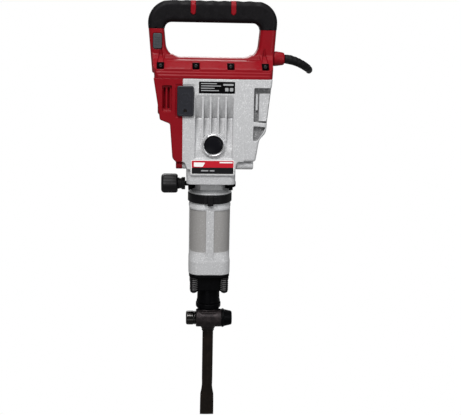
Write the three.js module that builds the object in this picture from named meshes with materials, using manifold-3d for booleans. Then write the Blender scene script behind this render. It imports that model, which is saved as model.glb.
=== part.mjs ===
// Electric demolition hammer, in millimetres, +Z up along the barrel and -Y to the front.
// The origin is the centre of the top grip, and the chisel points down.
import * as THREE from 'three';
import { mergeVertices } from 'three/addons/utils/BufferGeometryUtils.js';
import Module from 'manifold-3d';

const wasm = await Module();
wasm.setup();

// ---- Driving dimensions -------------------------------------------------------------
const GAP = 0.3; // between pieces that touch
const FRONT = -66; // front face of the body
const REAR = 62; // rear face of the body
const WALL = 5; // casing walls

const grip = { r: 20.5, halfWidth: 128, seamZ: -33, bevel: 11, core: 6 };
const opening = { halfTop: 94.5, halfBottom: 88, top: -20.5, bottom: -88 };
const handle = { bottom: -124.4, leftFoot: -113.5, rightFoot: 121, shelf: -91 };
const screw = { x: [-99.5, -31.8, 34.9, 101.5], z: -102, head: 4.6, shank: 2.4 };
const button = { x: -106, z: -56.8, wide: 17, tall: 29, out: 23.5 };
const gland = { z: -88, x0: 117, x1: 142.5, r0: 14.6, r1: 11.4 };

const caseLeft = -57; // seam between the motor housing and the crank case
const caseRight = 62; // seam between the crank case and the gear cover
const bodyBottom = -299;
const lidLeft = -32; // left edge of the rear inspection cover
const vent = { x0: -97, x1: -78, z0: -194, z1: -138, depth: 9, slots: [-90, -84.5] };
const intake = { x0: 82, x1: 125, z0: -228, z1: -141, depth: 12, slot: [85.5, 89] };
const brushDoor = { x0: -67.3, x1: -35.4, z0: -196, z1: -138, out: 6, screw: [-51.9, 0, -185.4] };
const dataPlate = { x0: -26, x1: 43, z0: -152, z1: -129.8 };
const badge = { x0: -39.2, x1: 44.1, z0: -309, z1: -281 };
const gauge = { at: [3.7, 0, -252], outer: 22, inner: 18.6, out: 3 };
const channel = { first: -32.7, pitch: 14.8, rib: 2.6, count: 5, top: -156, bottom: -279 };
const nose = { half: 48, bottom: -330.5, front: -62, rear: 54 };
const neck = { r: 34.5, bottom: -346, flangeR: 44, flangeTop: -356 };

const motor = { z: -188, y: 0, coreR: 24, statorR: 40, x0: -74, x1: -32, shaftR: 6 };
const pinionR = 14;
const gearTeeth = 42;
const pinionTeeth = 14;
const crank = { z: -246, gearR: 43.5, webR: 27, throw: 17, shaftR: 9, gearX: 66, gearWide: 11 };

const cylinder = { r: 27.5, bore: 22.4, top: -312, bottom: -492 };
const piston = { r: 22, top: -338, bottom: -378, pinZ: -350 };
const striker = { r: 22, top: -415, bottom: -465 };
const anvil = { r: 15, top: -500, bottom: -566 };

const band = { r: 44.2, inner: 41.8, top: -356.6, bottom: -374 };
const barrel = { half: 41, bore: 28.2, bottom: -521, lip: -386, panelTop: -399, panelBottom: -474 };
const cover = { half: 41, flange: 6, stemR: 23, bottom: -589, boltAt: 31 };
const retainer = { r: 18.5, y: -17, z: -619.4, x0: -25.6, x1: 27, collarR: 25.8, bottom: -645 };
const chisel = { shankR: 12.7, top: -570, shoulder: -652, across: 22, bladeTop: -774, tip: -843 };

const clamp = { z0: -345.6, z1: -331.4, inner: 34.9, outer: 40.5, armIn: 44.6, armOut: 49.6 };
const pivotZ = -339.5;
const knob = { x0: -65, x1: -98.4, r: 20.5, neckR: 12.5, neckX: -52 };

const cordR = 4.75;
const guardR = 8.4;
const coil = { x: 30, y: 84, z: -184, meanR: 52, thickR: 16 };
const plug = { x: -42, y: 86.5, top: -205 };

// ---- Turning geometry into solids and back -------------------------------------------
function solid(geometry) {
  const bare = geometry.clone();
  bare.deleteAttribute('normal');
  bare.deleteAttribute('uv');
  const merged = mergeVertices(bare, 1e-4);
  const index = merged.index.array;
  const position = merged.attributes.position;
  const corner = (i) => new THREE.Vector3().fromBufferAttribute(position, i);
  let triangles = [];
  let volume = 0;
  for (let i = 0; i < index.length; i += 3) {
    const [a, b, c] = index.slice(i, i + 3);
    if (a !== b && b !== c && a !== c) {
      triangles.push([a, b, c]);
      volume += corner(a).dot(corner(b).cross(corner(c)));
    }
  }
  if (volume < 0) triangles = triangles.map(([a, b, c]) => [a, c, b]);
  const mesh = new wasm.Mesh({
    numProp: 3,
    vertProperties: new Float32Array(position.array),
    triVerts: new Uint32Array(triangles.flat()),
  });
  return new wasm.Manifold(mesh);
}

function geometryOf(body) {
  const mesh = body.getMesh();
  const geometry = new THREE.BufferGeometry();
  geometry.setAttribute('position', new THREE.BufferAttribute(mesh.vertProperties, 3));
  geometry.setIndex(new THREE.BufferAttribute(mesh.triVerts, 1));
  geometry.computeVertexNormals();
  return geometry;
}

const join = (first, ...rest) => rest.reduce((all, body) => all.add(body), first);
const cut = (first, ...rest) => rest.reduce((all, body) => all.subtract(body), first);

// ---- Basic solids ----------------------------------------------------------------------
const vector = (x, y, z) => new THREE.Vector3(x, y, z);
const frames = {
  alongX: new THREE.Matrix4().makeBasis(vector(0, 1, 0), vector(0, 0, 1), vector(1, 0, 0)),
  alongY: new THREE.Matrix4().makeBasis(vector(1, 0, 0), vector(0, 0, 1), vector(0, -1, 0)),
  alongZ: new THREE.Matrix4(),
};
const turnFrames = {
  X: new THREE.Matrix4().makeBasis(vector(0, 1, 0), vector(1, 0, 0), vector(0, 0, -1)),
  Y: new THREE.Matrix4(),
  Z: new THREE.Matrix4().makeBasis(vector(1, 0, 0), vector(0, 0, 1), vector(0, -1, 0)),
};

// An outline through [x, y, radius] corners, each rounded by its radius.
function outline(corners, kind = THREE.Shape) {
  const path = new kind();
  corners.forEach(([x, y, radius = 0], i) => {
    const before = corners[(i + corners.length - 1) % corners.length];
    const after = corners[(i + 1) % corners.length];
    const here = new THREE.Vector2(x, y);
    const back = new THREE.Vector2(before[0], before[1]).sub(here).normalize();
    const on = new THREE.Vector2(after[0], after[1]).sub(here).normalize();
    const reach = radius / Math.tan(back.angleTo(on) / 2);
    const enter = here.clone().addScaledVector(back, reach);
    const leave = here.clone().addScaledVector(on, reach);
    if (i === 0) path.moveTo(enter.x, enter.y);
    else path.lineTo(enter.x, enter.y);
    if (radius > 0) path.quadraticCurveTo(x, y, leave.x, leave.y);
  });
  path.closePath();
  return path;
}

// A shape drawn in the plane across an axis, as a slab from one place on the axis to another.
function slab(shape, axis, from, to, bevel = 0, steps = 2) {
  const geometry = new THREE.ExtrudeGeometry(shape, {
    depth: to - from - 2 * bevel,
    bevelEnabled: bevel > 0,
    bevelSize: bevel,
    bevelThickness: bevel,
    bevelOffset: -bevel,
    bevelSegments: steps,
    curveSegments: 4,
  });
  const place = axis === 'alongY' ? -to : from;
  geometry.translate(0, 0, place + bevel);
  geometry.applyMatrix4(frames[axis]);
  return solid(geometry);
}

const slabY = (corners, from, to, bevel) => slab(outline(corners), 'alongY', from, to, bevel);
const slabX = (corners, from, to, bevel) => slab(outline(corners), 'alongX', from, to, bevel);
const slabZ = (corners, from, to, bevel) => slab(outline(corners), 'alongZ', from, to, bevel);

function box(x0, x1, y0, y1, z0, z1) {
  const geometry = new THREE.BoxGeometry(x1 - x0, y1 - y0, z1 - z0);
  geometry.translate((x0 + x1) / 2, (y0 + y1) / 2, (z0 + z1) / 2);
  return solid(geometry);
}

// A profile of [radius, place along the axis], turned about an axis that passes through a point.
function turned(profile, axis, through = [0, 0, 0], segments = 18) {
  const points = profile.map(([r, along]) => new THREE.Vector2(r, along));
  const geometry = new THREE.LatheGeometry(points, segments);
  geometry.applyMatrix4(turnFrames[axis]);
  geometry.translate(...through);
  return solid(geometry);
}

const rod = (r, from, to, axis, through, segments) =>
  turned([[0, from], [r, from], [r, to], [0, to]], axis, through, segments);

const ring = (inner, outer, from, to, axis, through, segments) =>
  turned([[inner, from], [outer, from], [outer, to], [inner, to], [inner, from]],
    axis, through, segments);

function rectangle(x0, x1, y0, y1, radius = 0) {
  return [[x0, y0, radius], [x1, y0, radius], [x1, y1, radius], [x0, y1, radius]];
}

// ---- Materials -----------------------------------------------------------------------------
const looks = {
  redShell: [0x96141f, 0.35, 0],
  rubber: [0x1e1c20, 0.75, 0],
  casting: [0xc6c8ca, 0.5, 0.6],
  blackPlastic: [0x24262b, 0.5, 0],
  greyPlastic: [0x6c7075, 0.5, 0],
  steel: [0x9a9da2, 0.35, 0.9],
  darkSteel: [0x3a332f, 0.5, 0.8],
  carbon: [0x2b2b2d, 0.8, 0.1],
  lens: [0x15161a, 0.15, 0],
};

const hammer = new THREE.Group();

function add(name, look, body, parent = hammer, at = [0, 0, 0]) {
  const [color, roughness, metalness] = looks[look];
  const material = new THREE.MeshStandardMaterial({ color, roughness, metalness });
  const mesh = new THREE.Mesh(geometryOf(body), material);
  mesh.name = name;
  mesh.position.set(...at);
  parent.add(mesh);
  return mesh;
}

function groupAt(x, y, z, parent = hammer) {
  const group = new THREE.Group();
  group.position.set(x, y, z);
  parent.add(group);
  return group;
}

// ---- Top handle --------------------------------------------------------------------------
function loopOutline(inset) {
  const w = grip.halfWidth - inset;
  const shape = outline([
    [handle.leftFoot + inset, handle.bottom],
    [handle.rightFoot - inset, handle.bottom],
    [w, grip.r - inset, 44],
    [-w, grip.r - inset, 44],
  ]);
  shape.holes.push(outline([
    [-opening.halfTop - inset, opening.top + inset, 15],
    [opening.halfTop + inset, opening.top + inset, 15],
    [opening.halfBottom + inset, opening.bottom - inset, 26],
    [-opening.halfBottom - inset, opening.bottom - inset, 26],
  ], THREE.Path));
  return shape;
}

const above = (z) => box(-150, 150, -80, 80, z, 60);
const below = (z) => box(-150, 150, -80, 80, -200, z);
const frontHalf = box(-150, 150, -90, -GAP / 2, -200, 60);
const rearHalf = box(-150, 150, GAP / 2, 90, -200, 60);

const loop = slab(loopOutline(0), 'alongY', -grip.r, grip.r, grip.bevel);
const loopCore = slab(loopOutline(grip.core), 'alongY', -grip.r + grip.core,
  grip.r - grip.core, 5);
const loopBore = slab(loopOutline(grip.core - GAP), 'alongY', -grip.r + grip.core - GAP,
  grip.r - grip.core + GAP, 5);

// The lower handle swells from the loop to the full depth of the body.
function lowerHandle() {
  const side = (sign, face) => [
    [sign * (grip.r - 1), opening.bottom + 6],
    [sign * (grip.r + 4), handle.shelf],
    [face - sign * 4, -106],
    [face, handle.bottom],
  ];
  const profile = [...side(-1, FRONT), ...side(1, REAR).reverse()];
  const wedge = slabX(profile, -125, 125);
  const outer = slabY([
    [handle.leftFoot, handle.bottom, 0],
    [handle.rightFoot, handle.bottom, 0],
    [grip.halfWidth - 4, opening.bottom + 10, 0],
    [-grip.halfWidth + 6, opening.bottom + 10, 0],
  ], FRONT, REAR, 3);
  const air = slabY([
    [-opening.halfBottom, -40, 0],
    [-opening.halfBottom, opening.bottom, 26],
    [opening.halfBottom, opening.bottom, 26],
    [opening.halfBottom, -40, 0],
  ], -90, 90);
  return cut(wedge.intersect(outer), air);
}

function screwHoles() {
  return screw.x.flatMap((x) => [
    rod(screw.head + 1.6, FRONT - 20, -46, 'Y', [x, 0, screw.z], 8),
    rod(screw.shank + GAP, -60, 44, 'Y', [x, 0, screw.z], 8),
  ]);
}

function handleShells() {
  const whole = join(
    loop.intersect(below(grip.seamZ - GAP / 2)),
    loopCore.intersect(above(grip.seamZ - 4)),
    lowerHandle(),
  );
  const wiring = join(
    box(-112, -100, -14, 14, -104, -36),
    box(-112, -72, -38, 38, -118, -98),
    box(-22, 22, -40, 40, -118, -96),
    box(50, 86, -40, 40, -118, -98),
  );
  const underside = box(caseLeft + 12, caseRight - 12, -46, 42, -140, -112);
  const buttonHole = box(button.x - button.wide / 2 - GAP, button.x + button.wide / 2 + GAP,
    -40, -8, button.z - button.tall / 2 - GAP, button.z + button.tall / 2 + GAP);
  const glandHole = rod(gland.r0 - 3 + GAP, 104, 160, 'X', [0, 0, gland.z], 14);
  const hollow = cut(whole, wiring, underside, buttonHole, glandHole, ...screwHoles());
  add('handle_front_shell', 'redShell', hollow.intersect(frontHalf));
  const strapEye = cut(box(18, 42, 48, 67, -110, -103), box(22, 38, 40, 64, -120, -90));
  add('handle_rear_shell', 'redShell', join(hollow.intersect(rearHalf), strapEye));
}

function gripParts() {
  const stripeX = [-37.6, 40];
  const arc = (x, inner, outer, half, start, end) => {
    const shape = new THREE.Shape();
    shape.absarc(0, 0, outer, start, end, false);
    shape.absarc(0, 0, inner, end, start, true);
    return slab(shape, 'alongX', x - half, x + half);
  };
  const start = Math.PI * 0.45;
  const end = Math.PI * 1.09;
  const stripes = stripeX.map((x) => arc(x, grip.r - 1.6, grip.r + 0.4, 5, start, end));
  const grooves = stripeX.map((x) =>
    arc(x, grip.r - 1.6 - GAP, grip.r + 6, 5 + GAP, start - 0.02, end + 0.02));
  const body = cut(loop, loopBore).intersect(above(grip.seamZ + GAP / 2));
  add('grip_cover', 'rubber', cut(body, ...grooves));
  add('grip_stripe_left', 'redShell', stripes[0]);
  add('grip_stripe_right', 'redShell', stripes[1]);
}

function screws() {
  const body = join(
    turned([[0, -52], [screw.head, -51], [screw.head, -46 - GAP], [0, -46 - GAP]], 'Y',
      [0, 0, 0], 8),
    rod(screw.shank, -47, 40, 'Y', [0, 0, 0], 6),
  );
  screw.x.forEach((x, i) => add(`handle_screw_${i + 1}`, 'darkSteel', body, hammer,
    [x, 0, screw.z]));
}

function switchParts() {
  const key = slabY(rectangle(-button.wide / 2, button.wide / 2, -button.tall / 2,
    button.tall / 2, 3), -button.out, -17.5, 1);
  const stem = box(-3, 3, -18, -9.5, -5, 5);
  add('switch_button', 'greyPlastic', join(key, stem), hammer, [button.x, 0, button.z]);
  const block = box(-5.5, 5.5, -6, 12, -18, 16);
  add('switch_body', 'blackPlastic', block, hammer, [button.x, 0, button.z]);
}

// ---- Body ---------------------------------------------------------------------------------
const caseOutline = [
  [caseLeft, handle.bottom - GAP, 0],
  [caseRight, handle.bottom - GAP, 0],
  [caseRight, bodyBottom + 4, 4],
  [caseLeft, bodyBottom + 4, 4],
];

function motorHousing() {
  const shape = [
    [handle.leftFoot, handle.bottom - GAP],
    [-101, -213],
    [-82, -219],
    [-76.5, -290],
    [-68, bodyBottom],
    [caseLeft - GAP, bodyBottom],
    [caseLeft - GAP, handle.bottom - GAP],
  ];
  const outer = slabY(shape, FRONT, REAR, 5);
  const square = slabY(shape, FRONT, REAR).intersect(box(-70, 0, -90, 90, -320, 0));
  const inner = slabY([
    [handle.leftFoot + 6, handle.bottom - 6, 0],
    [-95, -207, 4],
    [-76, -213, 3],
    [-71, bodyBottom + 6, 3],
    [caseLeft + 20, bodyBottom + 6, 0],
    [caseLeft + 20, handle.bottom - 6, 0],
  ], FRONT + WALL, REAR - WALL);
  const floor = FRONT + vent.depth;
  const recess = box(vent.x0, vent.x1, FRONT - 4, floor, vent.z0, vent.z1);
  const slots = vent.slots.map((x) =>
    box(x - 1.4, x + 1.4, FRONT - 4, FRONT + 20, vent.z0 + 4, vent.z1 - 4));
  const pad = slabY(rectangle(vent.x0 - 1, vent.x1 + 1, vent.z0 - 1, vent.z1 + 1, 3),
    floor - 3, floor + 5);
  const left = brushDoor.x0 - 3.2;
  const frontDoor = box(left, caseLeft, FRONT - 4, FRONT + 12, brushDoor.z0 - 3, brushDoor.z1 + 3);
  const rearDoor = box(left, caseLeft, REAR - 12, REAR + 4, brushDoor.z0 - 3, brushDoor.z1 + 3);
  const hull = cut(join(outer, square), inner, recess, frontDoor, rearDoor);
  const seat = rod(14, -106, -95.5, 'X', [0, motor.y, motor.z], 14).intersect(outer);
  const hole = rod(9.2, -104.4, -90, 'X', [0, motor.y, motor.z], 14);
  return cut(join(hull, pad, seat), hole, ...slots);
}

// Five cooling channels, deepest in the middle, with the sight glass let in below them.
function channels() {
  const cuts = [];
  for (let i = 0; i < channel.count; i += 1) {
    const x0 = channel.first + i * channel.pitch + channel.rib / 2;
    const profile = [
      [FRONT - 3, channel.top],
      [FRONT, channel.top],
      [FRONT + 15, -200],
      [FRONT + 15, -204],
      [FRONT + 4, -262],
      [FRONT + 4, channel.bottom],
      [FRONT - 3, channel.bottom],
    ];
    cuts.push(slabX(profile, x0, x0 + channel.pitch - channel.rib));
  }
  return cuts;
}

function crankCase() {
  const outer = slabY(caseOutline, FRONT, REAR, 2);
  const block = slabZ(rectangle(-nose.half, nose.half, nose.front, nose.rear, 9),
    nose.bottom, -280, 0);
  const throat = turned([
    [0, neck.flangeTop], [neck.flangeR, neck.flangeTop], [neck.flangeR, -354],
    [38, neck.bottom], [neck.r, neck.bottom], [neck.r, nose.bottom + 1], [40, -300], [0, -300],
  ], 'Z', [0, 0, 0], 24);
  const chamber = box(caseLeft + WALL, caseRight + 5, FRONT + 22, REAR - 12, -294, -133);
  const motorDoor = box(caseLeft - 5, caseLeft + 20, FRONT + 22, REAR - 12, -240, -133);
  const lid = box(lidLeft, caseRight - 10, REAR - 13, REAR + 5, -288, -138);
  const bore = rod(cylinder.r + 0.5, neck.flangeTop - 5, -280, 'Z', [0, 0, 0], 24);
  const glass = rod(gauge.outer + 0.4, FRONT - 5, FRONT + 9, 'Y', gauge.at, 18);
  const glassSeat = ring(18, gauge.outer + 2.5, FRONT + 0.4, FRONT + 20, 'Y', gauge.at, 18);
  const glassHole = rod(18, FRONT - 5, FRONT + 40, 'Y', gauge.at, 18);
  const doorWell = (y0, y1) => box(caseLeft - 5, brushDoor.x1 + 2.4, y0, y1,
    brushDoor.z0 - 3, brushDoor.z1 + 3);
  const doors = [doorWell(FRONT - 4, FRONT + 5), doorWell(REAR - 5, REAR + 4)];
  const web = bearingWeb(-24, -14).add(bearingWeb(34, 44));
  const shell = cut(join(outer, block, throat), chamber, motorDoor, lid, bore,
    ...channels(), ...doors);
  const shafts = [
    rod(14.3, -30, 50, 'X', [0, motor.y, motor.z], 14),
    rod(17.3, -40, 50, 'X', [0, 0, crank.z], 14),
  ];
  const flats = [dataPlate, badge].map((plate) => box(plate.x0 - 0.4, plate.x1 + 0.4,
    FRONT - 1, FRONT + 1.2, plate.z0 - 0.4, plate.z1 + 0.4));
  const badgeBed = box(badge.x0 - 0.4, badge.x1 + 0.4, FRONT + 2, FRONT + 8,
    badge.z0 - 3, badge.z1 + 2);
  return cut(join(shell, glassSeat, web, badgeBed), ...shafts, glass, glassHole, ...flats);
}

// A wall across the case that carries one motor bearing and one crank bearing.
function bearingWeb(x0, x1) {
  return box(x0, x1, FRONT + 20, REAR - 14, -292, -160);
}

function gearCover() {
  const shape = [
    [caseRight + GAP, handle.bottom - GAP],
    [caseRight + GAP, bodyBottom + 3],
    [86, bodyBottom + 3],
    [92.6, -283],
    [98.5, -246],
    [110, -233.6],
    [handle.rightFoot, handle.bottom - GAP],
  ];
  const inner = slabY([
    [caseRight - 10, handle.bottom - 7, 0],
    [caseRight - 10, bodyBottom + 8, 0],
    [80, bodyBottom + 8, 3],
    [87.5, -283, 3],
    [92.5, -243, 2],
    [104, -230, 3],
    [114, handle.bottom - 7, 0],
  ], FRONT + WALL, REAR - WALL);
  const floor = FRONT + intake.depth;
  const recess = slabY(rectangle(intake.x0, intake.x1, intake.z0, intake.z1, 2),
    FRONT - 4, floor);
  const pad = slabY([
    [intake.x0 - 2, intake.z0 - 2],
    [106, intake.z0 - 2],
    [113, intake.z1 + 1],
    [intake.x0 - 2, intake.z1 + 1],
  ], floor - 3, floor + 4);
  const slot = box(...intake.slot, FRONT - 4, FRONT + 30, -184, -153);
  const hull = cut(slabY(shape, FRONT, REAR, 5), inner, recess);
  const edge = slabY(shape, FRONT, REAR).intersect(box(0, 70, -90, 90, -320, 0));
  return cut(join(hull, pad.intersect(slabY(shape, FRONT, REAR, 5)), cut(edge, inner)), slot);
}

function bodyParts() {
  add('motor_housing', 'redShell', motorHousing());
  add('crank_case', 'casting', crankCase());
  add('gear_cover', 'casting', gearCover());
  const lid = slabY(rectangle(lidLeft + GAP, caseRight - 10 - GAP, -288 + GAP,
    -138 - GAP, 4), REAR - 4, REAR + 3, 1);
  add('rear_cover', 'casting', lid);
  const doorOutline = rectangle(brushDoor.x0, brushDoor.x1, brushDoor.z0, brushDoor.z1, 5);
  const door = slabY(doorOutline, FRONT - brushDoor.out, FRONT - GAP, 1.5);
  const well = rod(3.4, FRONT - 10, FRONT - 3, 'Y', brushDoor.screw, 8);
  const thread = rod(2.1, FRONT - 10, FRONT + 9, 'Y', brushDoor.screw, 8);
  add('brush_cover_front', 'blackPlastic', cut(door, well, thread));
  add('brush_cover_rear', 'blackPlastic',
    slabY(doorOutline, REAR + GAP, REAR + brushDoor.out, 1.5));
  const doorScrew = join(rod(3, FRONT - 5, FRONT - 3.3, 'Y', brushDoor.screw, 8),
    rod(1.8, FRONT - 4, FRONT + 2.5, 'Y', brushDoor.screw, 6));
  add('brush_cover_screw', 'steel', doorScrew);
  const plate = ({ x0, x1, z0, z1 }, out) => box(x0, x1, FRONT - out, FRONT + 0.9, z0, z1);
  add('data_plate', 'blackPlastic', plate(dataPlate, 0.2));
  add('badge_plate', 'redShell', plate(badge, 0.4));
  add('oil_gauge_ring', 'steel', ring(gauge.inner, gauge.outer, FRONT - gauge.out, FRONT + 8.5,
    'Y', gauge.at, 18));
  add('oil_gauge_lens', 'lens', turned([[0, FRONT], [12, FRONT + 0.4], [17.6, FRONT + 2],
    [17.6, FRONT + 8], [0, FRONT + 8]], 'Y', gauge.at, 18));
}

// ---- Motor and crank drive ------------------------------------------------------------------
function toothed(r, teeth, wide, bore, x0) {
  const shape = new THREE.Shape();
  const depth = 2.6;
  for (let i = 0; i < teeth; i += 1) {
    const angle = (step) => ((i + step) / teeth) * 2 * Math.PI;
    const spot = (radius, step) => [radius * Math.cos(angle(step)), radius * Math.sin(angle(step))];
    const points = [spot(r - depth, 0), spot(r - depth, 0.4), spot(r, 0.55), spot(r, 0.85)];
    points.forEach(([y, z], k) => {
      if (i === 0 && k === 0) shape.moveTo(y, z);
      else shape.lineTo(y, z);
    });
  }
  shape.closePath();
  const wheel = slab(shape, 'alongX', x0, x0 + wide);
  return bore > 0 ? cut(wheel, rod(bore, x0 - 5, x0 + wide + 5, 'X', [0, 0, 0], 14)) : wheel;
}

function motorParts() {
  const axis = groupAt(0, motor.y, motor.z);
  add('stator', 'darkSteel', ring(motor.coreR + 1.2, motor.statorR, motor.x0, motor.x1, 'X',
    [0, 0, 0], 18), axis);
  const shaft = turned([
    [0, -104], [motor.shaftR, -104], [motor.shaftR, -93], [15, -93],
    [15, motor.x0 - 3], [motor.shaftR + 3, motor.x0 - 1], [motor.coreR, motor.x0 + 2],
    [motor.coreR, motor.x1], [motor.shaftR, motor.x1], [motor.shaftR, crank.gearX - 4],
    [0, crank.gearX - 4],
  ], 'X', [0, 0, 0], 14);
  add('armature', 'steel', join(shaft, toothed(pinionR, pinionTeeth, crank.gearWide, 0,
    crank.gearX), rod(motor.shaftR, 50, crank.gearX + 1, 'X', [0, 0, 0], 14)), axis);
  const blade = (i) => {
    const angle = (i / 6) * 2 * Math.PI;
    const fin = new THREE.BoxGeometry(7, 2, 22);
    fin.translate(-27.5, 0, 20);
    fin.rotateX(angle);
    return solid(fin);
  };
  const hub = ring(motor.shaftR + GAP, 32, -26, -24.6, 'X', [0, 0, 0], 18);
  const boss = ring(motor.shaftR + GAP, 10.5, -31, -24.6, 'X', [0, 0, 0], 14);
  const blades = Array.from({ length: 6 }, (_, i) => blade(i));
  add('cooling_fan', 'blackPlastic', join(hub, boss, ...blades), axis);
  const bearing = (inner, outer) => ring(inner, outer, -3.6, 3.6, 'X', [0, 0, 0], 14);
  add('motor_bearing_left', 'steel', bearing(motor.shaftR + GAP, 8.9), axis, [-99.5, 0, 0]);
  add('motor_bearing_right', 'steel', bearing(motor.shaftR + GAP, 14), axis, [39, 0, 0]);
  add('brush_front', 'carbon', box(-90, -80, -36, -15.5, -4, 4), axis);
  add('brush_rear', 'carbon', box(-90, -80, 15.5, 36, -4, 4), axis);
}

function crankParts() {
  const axis = groupAt(0, 0, crank.z);
  const web = rod(crank.webR, 10, 20, 'X', [0, 0, 0], 18);
  const pin = rod(7, 7.2, 11, 'X', [0, 0, crank.throw], 10);
  const shaft = rod(crank.shaftR, 12, crank.gearX + crank.gearWide + 4, 'X', [0, 0, 0], 14);
  add('crankshaft', 'steel', join(web, pin, shaft), axis);
  const gear = toothed(crank.gearR, gearTeeth, crank.gearWide, crank.shaftR + GAP, crank.gearX);
  add('drive_gear', 'steel', gear, axis);
  add('crank_bearing', 'steel', ring(crank.shaftR + GAP, 17, -4.5, 4.5, 'X', [0, 0, 0], 14),
    axis, [39, 0, 0]);
}

// ---- Striking parts, all on the barrel's axis --------------------------------------------------
function strikingParts() {
  const rodLength = piston.pinZ - crank.z;
  const small = rod(10, -5.5, 5.5, 'X', [0, 0, 0], 14);
  const big = rod(15, -5.5, 5.5, 'X', [0, 0, -rodLength], 14);
  const beam = box(-4, 4, -6.5, 6.5, 5, -rodLength - 6);
  const conrod = cut(join(small, big, beam), rod(5.4, -9, 9, 'X', [0, 0, 0], 10),
    rod(8, -9, 9, 'X', [0, 0, -rodLength], 10));
  add('connecting_rod', 'steel', conrod, groupAt(0, 0, piston.pinZ));
  add('piston_pin', 'steel', rod(5, -20, 20, 'X', [0, 0, piston.pinZ], 10));
  const crown = rod(piston.r, piston.bottom, piston.top, 'Z', [0, 0, 0], 18);
  const slot = box(-6.4, 6.4, -17, 17, piston.pinZ - 13, piston.top + 5);
  add('piston', 'casting', cut(crown, slot, rod(5.3, -30, 30, 'X', [0, 0, piston.pinZ], 10)));
  add('striker', 'steel', turned([[0, striker.bottom], [14, striker.bottom],
    [striker.r, striker.bottom + 9], [striker.r, striker.top], [0, striker.top]], 'Z'));
  const liner = ring(cylinder.bore, cylinder.r, cylinder.bottom, cylinder.top, 'Z', [0, 0, 0], 24);
  const ports = [rod(3, -40, 40, 'X', [0, 0, -400], 8), box(-14, 14, -40, 40, -330, -300)];
  add('cylinder', 'steel', cut(liner, ...ports));
  add('anvil', 'steel', turned([[0, anvil.bottom], [11, anvil.bottom], [anvil.r, anvil.bottom + 4],
    [anvil.r, anvil.top - 14], [10, anvil.top - 5], [10, anvil.top], [0, anvil.top]], 'Z'));
}

// ---- Barrel and front cover ------------------------------------------------------------------
function barrelParts() {
  const section = (half, radius) => rectangle(-half, half, -half, half, radius);
  const top = ring(20, 41.5, barrel.lip, neck.flangeTop - GAP, 'Z', [0, 0, 0], 24);
  const body = slabZ(section(barrel.half - 0.5, 27), barrel.bottom, barrel.lip + 1, 0);
  const foot = slabZ(section(barrel.half + 0.8, 22), barrel.bottom, barrel.bottom + 24, 3);
  const sunk = [0, 1, 2, 3].flatMap((quarter) => [-1, 1].map((side) => {
    const panel = new THREE.BoxGeometry(19, 5, barrel.panelTop - barrel.panelBottom);
    panel.translate(side * 18, -barrel.half - 0.4,
      (barrel.panelTop + barrel.panelBottom) / 2);
    panel.rotateZ(quarter * Math.PI / 2);
    return solid(panel);
  }));
  const bore = rod(barrel.bore, barrel.bottom - 5, -340, 'Z', [0, 0, 0], 24);
  add('barrel_case', 'casting', cut(join(top, body, foot), bore, ...sunk));
  const hoop = ring(band.inner, band.r, band.bottom, band.top, 'Z', [0, 0, 0], 28);
  const lug = box(-5.2, 5.8, -50, -43.2, -376.5, -357);
  add('barrel_band', 'rubber', join(hoop, lug));
}

function frontParts() {
  const plate = slabZ(rectangle(-cover.half, cover.half, -cover.half, cover.half, 17),
    barrel.bottom - GAP - cover.flange, barrel.bottom - GAP, 1.5);
  const stem = turned([[0, cover.bottom], [cover.stemR + 1, cover.bottom],
    [cover.stemR + 1, cover.bottom + 5], [cover.stemR, cover.bottom + 7],
    [cover.stemR, -523], [0, -523]], 'Z');
  const web = slabZ(rectangle(-29.5, 29.5, -30.5, 30.5, 7), -558.5, -526);
  const bore = rod(20, -600, -500, 'Z', [0, 0, 0], 18);
  const places = [[-1, -1], [1, -1], [1, 1], [-1, 1]];
  const holes = places.map(([x, y]) =>
    rod(4.4, -540, -515, 'Z', [x * cover.boltAt, y * cover.boltAt, 0], 8));
  const wells = places.map(([x, y]) =>
    rod(8 + GAP, -600, barrel.bottom - GAP - cover.flange, 'Z',
      [x * cover.boltAt, y * cover.boltAt, 0], 10));
  add('front_cover', 'blackPlastic', cut(join(plate, stem, cut(web, ...wells)), bore, ...holes));
  const ribbed = [[0, -34]];
  for (let i = 0; i < 4; i += 1) {
    ribbed.push([8, -34 + i * 8], [8, -29.4 + i * 8], [6.7, -28.4 + i * 8], [6.7, -27 + i * 8]);
  }
  const head = turned([...ribbed.slice(0, -2), [8, -GAP], [0, -GAP]], 'Z', [0, 0, 0], 10);
  const bolt = join(head, rod(4, -5, 5.6, 'Z', [0, 0, 0], 8));
  places.forEach(([x, y], i) => add(`front_bolt_${i + 1}`, 'blackPlastic', bolt, hammer,
    [x * cover.boltAt, y * cover.boltAt, barrel.bottom - GAP - cover.flange]));
}

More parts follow.
